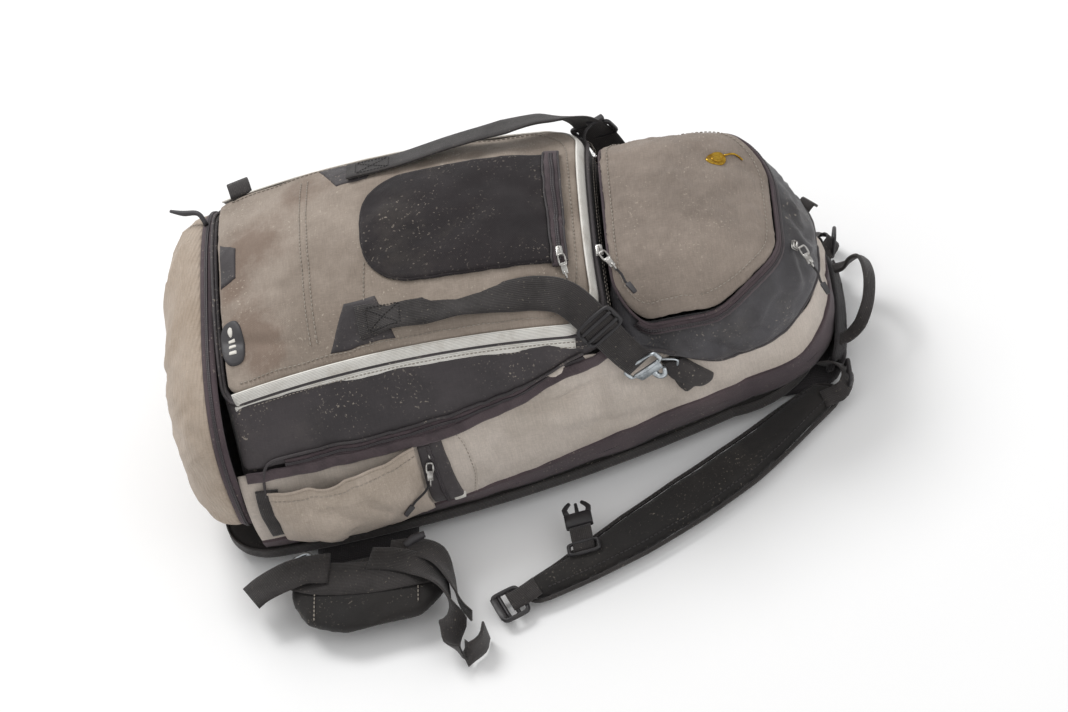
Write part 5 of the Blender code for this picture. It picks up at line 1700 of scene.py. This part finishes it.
def trigger_parts():
    """The airbag's pull handle in its sleeve, on the left shoulder strap."""
    low, high = (np.array(corner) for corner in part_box("trigger_sleeve"))
    along, wide = unit((-0.054, 0.033, 0)), unit((0.033, 0.054, 0))
    centre = (low + high) / 2
    sleeve = rounded_block("trigger_sleeve_cloth", centre, along, wide, (0.058, 0.034, 0.0135), DARK, 3.0)
    body_piece(sleeve, "shoulder_strap_left", "dark_cloth", "trigger_sleeve")
    rim = ring_tube(
        "trigger_sleeve_binding", centre + along * 0.027, rise(1.0), wide, 0.013, 0.033,
        0.0013, WEBBING,
    )
    body_piece(rim, "shoulder_strap_left", "dark_cloth")
    centre = centre_of("trigger_handle")
    parts = [
        rounded_block(
            "grip", centre + along * 0.006, wide, along, (0.028, 0.012, 0.0120), RED_PLASTIC, 3.0,
        )
    ]
    parts.append(
        rounded_block(
            "stem", centre - along * 0.006, along, wide, (0.018, 0.014, 0.008), RED_PLASTIC, 3.0,
        )
    )
    for shift in (-0.008, 0.0, 0.008):
        rib = [centre + along * 0.006 + wide * shift + rise(z) for z in (-0.004, 0.0064)]
        parts.append(tube("rib", rib, 0.0012, RED_PLASTIC, 8, 0.004))
    body_piece(join("trigger_grip", parts), "trigger_handle", "trigger_plastic", "trigger_handle")


def hip_belt():
    """Both hip wings with their bases, webbing, stitches and buckle halves, and the loose tail."""
    wing = [
        (-0.216, 0.183), (-0.090, 0.183), (-0.082, 0.205), (-0.086, 0.236), (-0.108, 0.258),
        (-0.180, 0.262), (-0.212, 0.246), (-0.226, 0.212),
    ]
    base = [(-0.205, 0.0615), (-0.110, 0.0615), (-0.110, 0.176), (-0.205, 0.176)]
    for tag, side in SIDES:
        turned = [(x, side * y) for x, y in wing]
        plain = [(x, side * y) for x, y in base]
        if side < 0:
            turned, plain = turned[::-1], plain[::-1]
        body = f"hip_wing_{tag}"
        pad(body + "_pad", turned, 0.0155, 0.0330, PAD_CLOTH, body, "harness_foam", body, 0.005)
        pad(
            f"hip_base_{tag}_pad", plain, 0.0020, 0.0137, PADDING, "harness", "harness_foam",
            f"hip_base_{tag}", 0.0,
        )
        band = [
            (-0.213, side * 0.196, 0.0338), (-0.190, side * 0.208, 0.0356),
            (-0.150, side * 0.216, 0.0362), (-0.112, side * 0.216, 0.0352),
            (-0.090, side * 0.214, 0.0318),
        ]
        body_piece(strip(body + "_belt", band, [UP] * 5, 0.036, 0.0020, WEBBING), body, "webbing")
        rib = [
            [
                (x, side * 0.1905, 0.0345), (x - 0.004, side * 0.222, 0.0352),
                (x - 0.006, side * 0.252, 0.0325),
            ]
            for x in (-0.196, -0.104)
        ]
        rows = [
            stitches("row", smooth_path(path, 0.006), [UP] * len(smooth_path(path, 0.006)), PALE_THREAD)
            for path in rib
        ]
        body_piece(join(body + "_stitches", rows), body, "harness_foam")
        half = "female" if side < 0 else "male"
        centre = centre_of(f"hip_buckle_{half}")
        parts = [rounded_block("shell", centre, (0, side, 0), (1, 0, 0), (0.034, 0.041, 0.0115), PLASTIC)]
        parts.append(
            ring_tube(
                "loop", centre - np.array([0, side * 0.010, 0]), (0, side, 0), (1, 0, 0), 0.010, 0.036,
                0.0020, PLASTIC,
            )
        )
        body_piece(join(f"hip_buckle_{tag}", parts), body, "buckle_plastic", f"hip_buckle_{half}")
    ring = ring_tube(
        "hip_ring", (-0.2075, -0.1905, 0.0372), (1, 0.4, 0), (-0.4, 1, 0), 0.020, 0.026, 0.0017,
        ALUMINIUM, 3.0,
    )
    body_piece(ring, "hip_wing_right", "aluminium")
    tail = [
        (-0.186, -0.199, 0.0385), (-0.206, -0.197, 0.0395), (-0.226, -0.199, 0.0375),
        (-0.246, -0.203, 0.0330), (-0.258, -0.209, 0.0300),
    ]
    body_piece(
        strip(
            "hip_belt_tail", tail, [(0, 0, 1), (0, 0.1, 1), (-0.1, 0, 1), (-0.3, 0, 1), (-0.3, 0, 1)],
            0.034, 0.0022, WEBBING,
        ),
        "hip_wing_right", "webbing",
    )
    toggle = tube(
        "hip_toggle", [(-0.118, -0.1905, 0.0385), (-0.110, -0.186, 0.0400), (-0.100, -0.183, 0.0400)],
        [0.0030, 0.0042, 0.0030], LABEL, 12,
    )
    body_piece(toggle, "hip_wing_right", "buckle_plastic")


def adjusters():
    """Slack webbing from the hip wings towards the ladder locks."""
    right = [
        (-0.150, -0.196, 0.0372), (-0.128, -0.203, 0.0380), (-0.106, -0.216, 0.0385),
        (-0.088, -0.240, 0.0365), (-0.082, -0.266, 0.0260), (-0.086, -0.290, 0.0160),
        (-0.074, -0.302, 0.0142), (-0.060, -0.295, 0.0142), (-0.056, -0.281, 0.0145),
    ]
    normals = [
        (0, 0, 1), (0, 0, 1), (0.1, 0, 1), (0.7, 0, 0.7), (1, 0.2, 0.1), (0.2, 1, 0), (-0.6, 0.7, 0),
        (-1, 0, 0), (-1, -0.1, 0),
    ]
    body_piece(
        strip("adjuster_webbing_right_cloth", right, normals, 0.025, 0.0020, WEBBING), "hip_wing_right",
        "webbing", "adjuster_webbing_right",
    )
    second = [
        (-0.132, -0.190, 0.0360), (-0.110, -0.194, 0.0375), (-0.092, -0.206, 0.0390),
        (-0.082, -0.228, 0.0330), (-0.076, -0.250, 0.0200), (-0.068, -0.262, 0.0140),
    ]
    facing = [(0, 0, 1), (0, 0, 1), (0.3, 0, 1), (1, 0.1, 0.5), (1, 0.3, 0), (0.8, 0.6, 0)]
    body_piece(
        strip("adjuster_tail", second, facing, 0.022, 0.0018, WEBBING), "hip_wing_right", "webbing",
    )
    left = [
        (-0.140, 0.200, 0.0362), (-0.120, 0.209, 0.0366), (-0.100, 0.218, 0.0362),
        (-0.066, 0.226, 0.0355),
    ]
    body_piece(
        strip("adjuster_webbing_left_cloth", left, [UP] * 4, 0.025, 0.0020, WEBBING), "hip_wing_left",
        "webbing", "adjuster_webbing_left",
    )


def harness_back():
    """Back panel, its pads, the yoke with its load lifters, and the haul loop."""
    grid = []
    for turn in np.linspace(-math.pi / 2, math.pi / 2, 9):
        inset = 0.005 * (1 - math.cos(turn))
        plan = ring_outline(
            -0.280 + inset, 0.258 - inset, lambda x: float(half_width(x)) - 0.006 - inset, 0.045, 0.085,
        )
        grid.append(np.column_stack([plan, np.full(len(plan), 0.0194 + 0.0050 * math.sin(turn))]))
    shape = closed_in(grid, np.zeros(2), (0.02, 0.4, 0.8))
    panel = solid("back_panel_cloth", shape, PAD_CLOTH, flip=True)
    body_piece(panel, "harness", "dark_cloth", "back_panel")
    edge = ring_outline(-0.2805, 0.2585, lambda x: float(half_width(x)) - 0.0055, 0.045, 0.085)
    rim = np.column_stack([edge, np.full(len(edge), 0.0200)])
    rim = np.vstack([rim, rim[:1]])
    body_piece(
        strip("back_panel_binding", rim, out_of(rim), 0.0105, 0.0014, WEBBING, 0.02), "harness",
        "dark_cloth",
    )
    pad(
        "spine_pad_mesh", [(-0.085, -0.022), (0.200, -0.022), (0.200, 0.022), (-0.085, 0.022)], 0.0,
        0.0140, PADDING, "harness", "harness_foam", "spine_pad", 0.0, 0.006,
    )
    pad(
        "lumbar_pad_mesh", [(-0.235, -0.060), (-0.100, -0.060), (-0.100, 0.060), (-0.235, 0.060)], 0.0,
        0.0140, PADDING, "harness", "harness_foam", "lumbar_pad", 0.0, 0.008,
    )
    for tag, side in SIDES:
        outline = [(-0.085, 0.034), (0.200, 0.034), (0.200, 0.078), (-0.085, 0.098)]
        outline = [(x, side * y) for x, y in outline]
        if side < 0:
            outline = outline[::-1]
        pad(
            f"back_pad_{tag}_mesh", outline, 0.0, 0.0140, PADDING, "harness", "harness_foam",
            f"back_pad_{tag}", 0.0, 0.007,
        )
    yoke = [
        (0.205, -0.076), (0.243, -0.076), (0.265, -0.070), (0.279, -0.058), (0.282, 0.0), (0.279, 0.058),
        (0.265, 0.070), (0.243, 0.076), (0.205, 0.076),
    ]
    pad(
        "shoulder_yoke_pad", yoke, 0.0004, 0.0138, PADDING, "harness", "harness_foam", "shoulder_yoke",
        0.0, 0.006, lift=lambda x, y: 0.0150 * ease(x, 0.262, 0.280),
    )
    path = [
        (0.259, -0.060, 0.0150), (0.272, -0.054, 0.025), (0.277, 0.0, 0.029), (0.272, 0.054, 0.025),
        (0.259, 0.060, 0.0150),
    ]
    body_piece(
        strip("yoke_collar", path, [(1, 0, 0.4)] * 5, 0.016, 0.0030, PADDING), "harness", "harness_foam",
    )
    for tag, side in SIDES:
        centre = np.array([0.2765, side * 0.079, 0.022])
        along, wide = np.array([0.0, side, -0.35]), unit((0.3, 0, 1))
        parts = [ring_tube("frame", centre, along, wide, 0.020, 0.021, 0.0018, PLASTIC, 6.0)]
        bar = [centre + wide * s for s in (-0.009, 0, 0.009)]
        parts.append(tube("bar", bar, 0.0017, PLASTIC, 10, 0.004))
        body_piece(
            join(f"load_lifter_buckle_{tag}", parts), "harness", "buckle_plastic", f"load_lifter_{tag}",
        )
        lead = [
            (0.252, side * 0.058, 0.018), (0.268, side * 0.066, 0.024), (0.2765, side * 0.079, 0.0235),
            (0.270, side * 0.092, 0.018), (0.252, side * 0.098, 0.0165),
        ]
        body_piece(
            strip(f"load_lifter_webbing_{tag}", lead, [(1, 0, 0.6)] * 5, 0.016, 0.0016, WEBBING),
            "harness", "webbing",
        )
    loop = [
        (0.2720, -0.044, 0.0285), (0.2810, -0.043, 0.0300), (0.2890, -0.041, 0.0345),
        (0.2965, -0.038, 0.042), (0.3055, -0.026, 0.054), (0.3090, -0.004, 0.0595),
        (0.3050, 0.020, 0.0555), (0.2955, 0.034, 0.045), (0.2880, 0.038, 0.0345), (0.2810, 0.040, 0.0300),
        (0.2720, 0.041, 0.0285),
    ]
    facing = [
        (0, 0, 1), (-0.3, -0.3, 0.9), (-0.3, -1, 0.4), (0.3, -0.9, 0.2), (0.6, -0.5, 0.5), (0.7, 0, 0.7),
        (0.6, 0.5, 0.5), (0.3, 0.9, 0.2), (-0.3, 1, 0.4), (-0.3, 0.3, 0.9), (0, 0, 1),
    ]
    body_piece(
        strip("haul_loop_webbing", loop, facing, 0.0115, 0.0030, WEBBING, 0.003), "haul_loop", "webbing",
        "haul_loop",
    )


def inside():
    """What the open bag shows: sheet, stays, folded airbag, gas cylinder, release head and hose."""
    for node, look in (
        ("frame_sheet", SHEET_PLASTIC), ("stay_right", ALUMINIUM), ("stay_left", ALUMINIUM),
    ):
        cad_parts[node].data.materials.clear()
        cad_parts[node].data.materials.append(look)
    layers = []
    for i in range(7):
        low = 0.0310 + 0.0081 * i
        inset = 0.003 + 0.0035 * (i % 2)
        rows = []
        for turn in np.linspace(-math.pi / 2, math.pi / 2, 9):
            reach = inset + 0.004 * (1 - math.cos(turn))
            plan = ring_outline(0.120 + reach, 0.226 - reach, lambda x: 0.066 - reach, 0.015, 0.040, 140)
            height = low + 0.0040 + 0.0038 * math.sin(turn) + 0.0006 * rough(
                plan[:, 0], plan[:, 1], 0.03, 70 + i,
            )
            rows.append(np.column_stack([plan, height]))
        middle = np.array([0.173, 0.0])
        shape = closed_in(rows, middle, (0.02, 0.6))
        layers.append(solid("layer", shape, ORANGE, flip=True))
    body_piece(join("folded_airbag_cloth", layers), "harness", "airbag_cloth", "folded_airbag")
    profile = [
        (-0.1895, 0.002), (-0.1893, 0.010), (-0.1870, 0.018), (-0.182, 0.024), (-0.175, 0.0275),
        (-0.168, 0.028), (-0.060, 0.028), (-0.012, 0.028), (-0.004, 0.0265), (0.003, 0.021),
        (0.007, 0.0135), (0.009, 0.0125), (0.0148, 0.0125), (0.015, 0.002),
    ]
    body_piece(
        turned("gas_cylinder_body", profile, CYLINDER), "harness", "cylinder_paint", "gas_cylinder",
    )
    for x in (-0.145, -0.035):
        turns = np.linspace(0, 2 * math.pi, 40)
        ring = np.column_stack(
            [np.full(40, x), 0.080 + 0.0292 * np.cos(turns), 0.060 + 0.0292 * np.sin(turns)]
        )
        out = np.column_stack([np.zeros(40), np.cos(turns), np.sin(turns)])
        body_piece(
            strip(
                f"cylinder_strap_{'low' if x < -0.1 else 'high'}", ring, out, 0.022, 0.0018, WEBBING,
                0.02,
            ),
            "harness", "webbing",
        )
    parts = [
        rounded_block(
            "block", (0.0323, 0.080, 0.060), (1, 0, 0), (0, 1, 0), (0.033, 0.034, 0.034), ALUMINIUM, 4.0,
        )
    ]
    parts.append(
        tube("knob", [(0.0323, 0.0625, 0.060), (0.0323, 0.0975, 0.060)], 0.0085, ALUMINIUM, 20, 0.01)
    )
    parts.append(
        tube("gauge", [(0.0323, 0.080, 0.0435), (0.0323, 0.080, 0.0775)], 0.0100, ALUMINIUM, 24, 0.01)
    )
    body_piece(join("release_head_body", parts), "harness", "aluminium", "release_head")
    route = [
        (0.0518, 0.080, 0.060), (0.065, 0.080, 0.060), (0.078, 0.077, 0.060), (0.092, 0.058, 0.060),
        (0.105, 0.050, 0.060), (0.1178, 0.050, 0.060),
    ]
    line = smooth_path(route, 0.0012)
    ripple = 0.0076 + 0.0004 * np.sin(np.arange(len(line)) * 1.3)
    body_piece(
        tube("inflation_hose_body", line, ripple, HOSE, 18, smooth=False), "harness", "hose_plastic",
        "inflation_hose",
    )


def turned(name, profile, material, y=0.080, z=0.060):
    """A body of revolution along X from its profile of place and radius."""
    turns = np.linspace(0, 2 * math.pi, 49)[:-1]
    grid = np.array([[(x, y + r * math.cos(t), z + r * math.sin(t)) for t in turns] for x, r in profile])
    return solid(name, grid, material)


def small_parts():
    """The pin on the top pocket, loose tabs, pulls and cords at the far side and head end."""
    pin = [COVER.disc("pin", (0.205, 0.040), (0.0085, 0.0065), 0.0016, GOLD, 0.4)]
    pin.append(COVER.disc("pin", (0.205, 0.040), (0.0045, 0.0035), 0.0026, GOLD, 0.4))
    line = COVER.line([(0.212, 0.044), (0.220, 0.047), (0.226, 0.043)], 0.0012)[0]
    pin.append(tube("pin", line, 0.0009, GOLD, 8, 0.002))
    body_piece(join("cover_pin", pin), "top_pocket_cover", "zip_metal")
    edge = float(flap_reach(np.array(-0.215))) - 0.002
    base = FLAP.place(-0.214, edge, 0.0)
    path = [base, base + np.array([-0.002, 0.010, 0.002]), base + np.array([-0.004, 0.018, 0.000])]
    body_piece(strip("far_tab", path, [UP] * 3, 0.020, 0.0030, WEBBING, 0.003), "front_flap", "webbing")
    start = np.array([-0.2525, 0.100, 0.178])
    path = [
        start, start + np.array([-0.006, 0.010, 0.006]), start + np.array([-0.020, 0.016, 0.004]),
        start + np.array([-0.032, 0.022, 0.004]),
    ]
    body_piece(tube("far_cord", path, [0.0022, 0.0022, 0.0026, 0.0014], LABEL, 10), "bag", "webbing")
    start = np.array([TRAY_X1 - 0.004, 0.088, float(flap_height(FLAP_X1, 0.088)) - 0.0085])
    path = [start, start + np.array([0.003, 0.010, 0.004]), start + np.array([0.008, 0.019, 0.002])]
    parts = [tube("cord", path, 0.0012, THREAD, 8)]
    parts.append(
        rounded_block(
            "grip", path[-1] + np.array([0.004, 0.004, 0]), (1, 0.5, 0), (-0.5, 1, 0),
            (0.016, 0.0056, 0.0034), LABEL,
        )
    )
    body_piece(join("far_zip_cord", parts), "bag", "zip_metal")
    tab = [(0.262, 0.052, 0.098), (0.268, 0.058, 0.100), (0.270, 0.064, 0.092)]
    body_piece(
        strip("head_tab", tab, [(0.6, 0.4, 0.7)] * 3, 0.014, 0.0024, WEBBING, 0.003), "bag", "webbing",
    )


def main():
    add_camera()
    add_studio()
    floor = add_mesh(
        "floor", [(-6, -6, -0.0005), (6, -6, -0.0005), (6, 6, -0.0005), (-6, 6, -0.0005)], [(0, 1, 2, 3)],
        FLOOR,
    )
    bag_walls()
    tool_shell()
    top_shell()
    front_flap()
    stretch_pocket()
    trims()
    top_cover()
    bottom_compartment()
    for tag, side in SIDES:
        side_pocket(tag, side)
        side_details(side)
        shoulder_strap(tag, side)
    sternum("right", "male", -1)
    sternum("left", "female", 1)
    trigger_parts()
    zip_hardware()
    ski_straps()
    hip_belt()
    adjusters()
    harness_back()
    inside()
    small_parts()


def floor_look():
    look = Look("floor")
    tone = look.mix(look.noise(3.0, 3.0), (0.96, 0.96, 0.96, 1), (0.99, 0.99, 0.99, 1))
    return look.finish(tone, 0.9)


FLOOR = floor_look()
main()
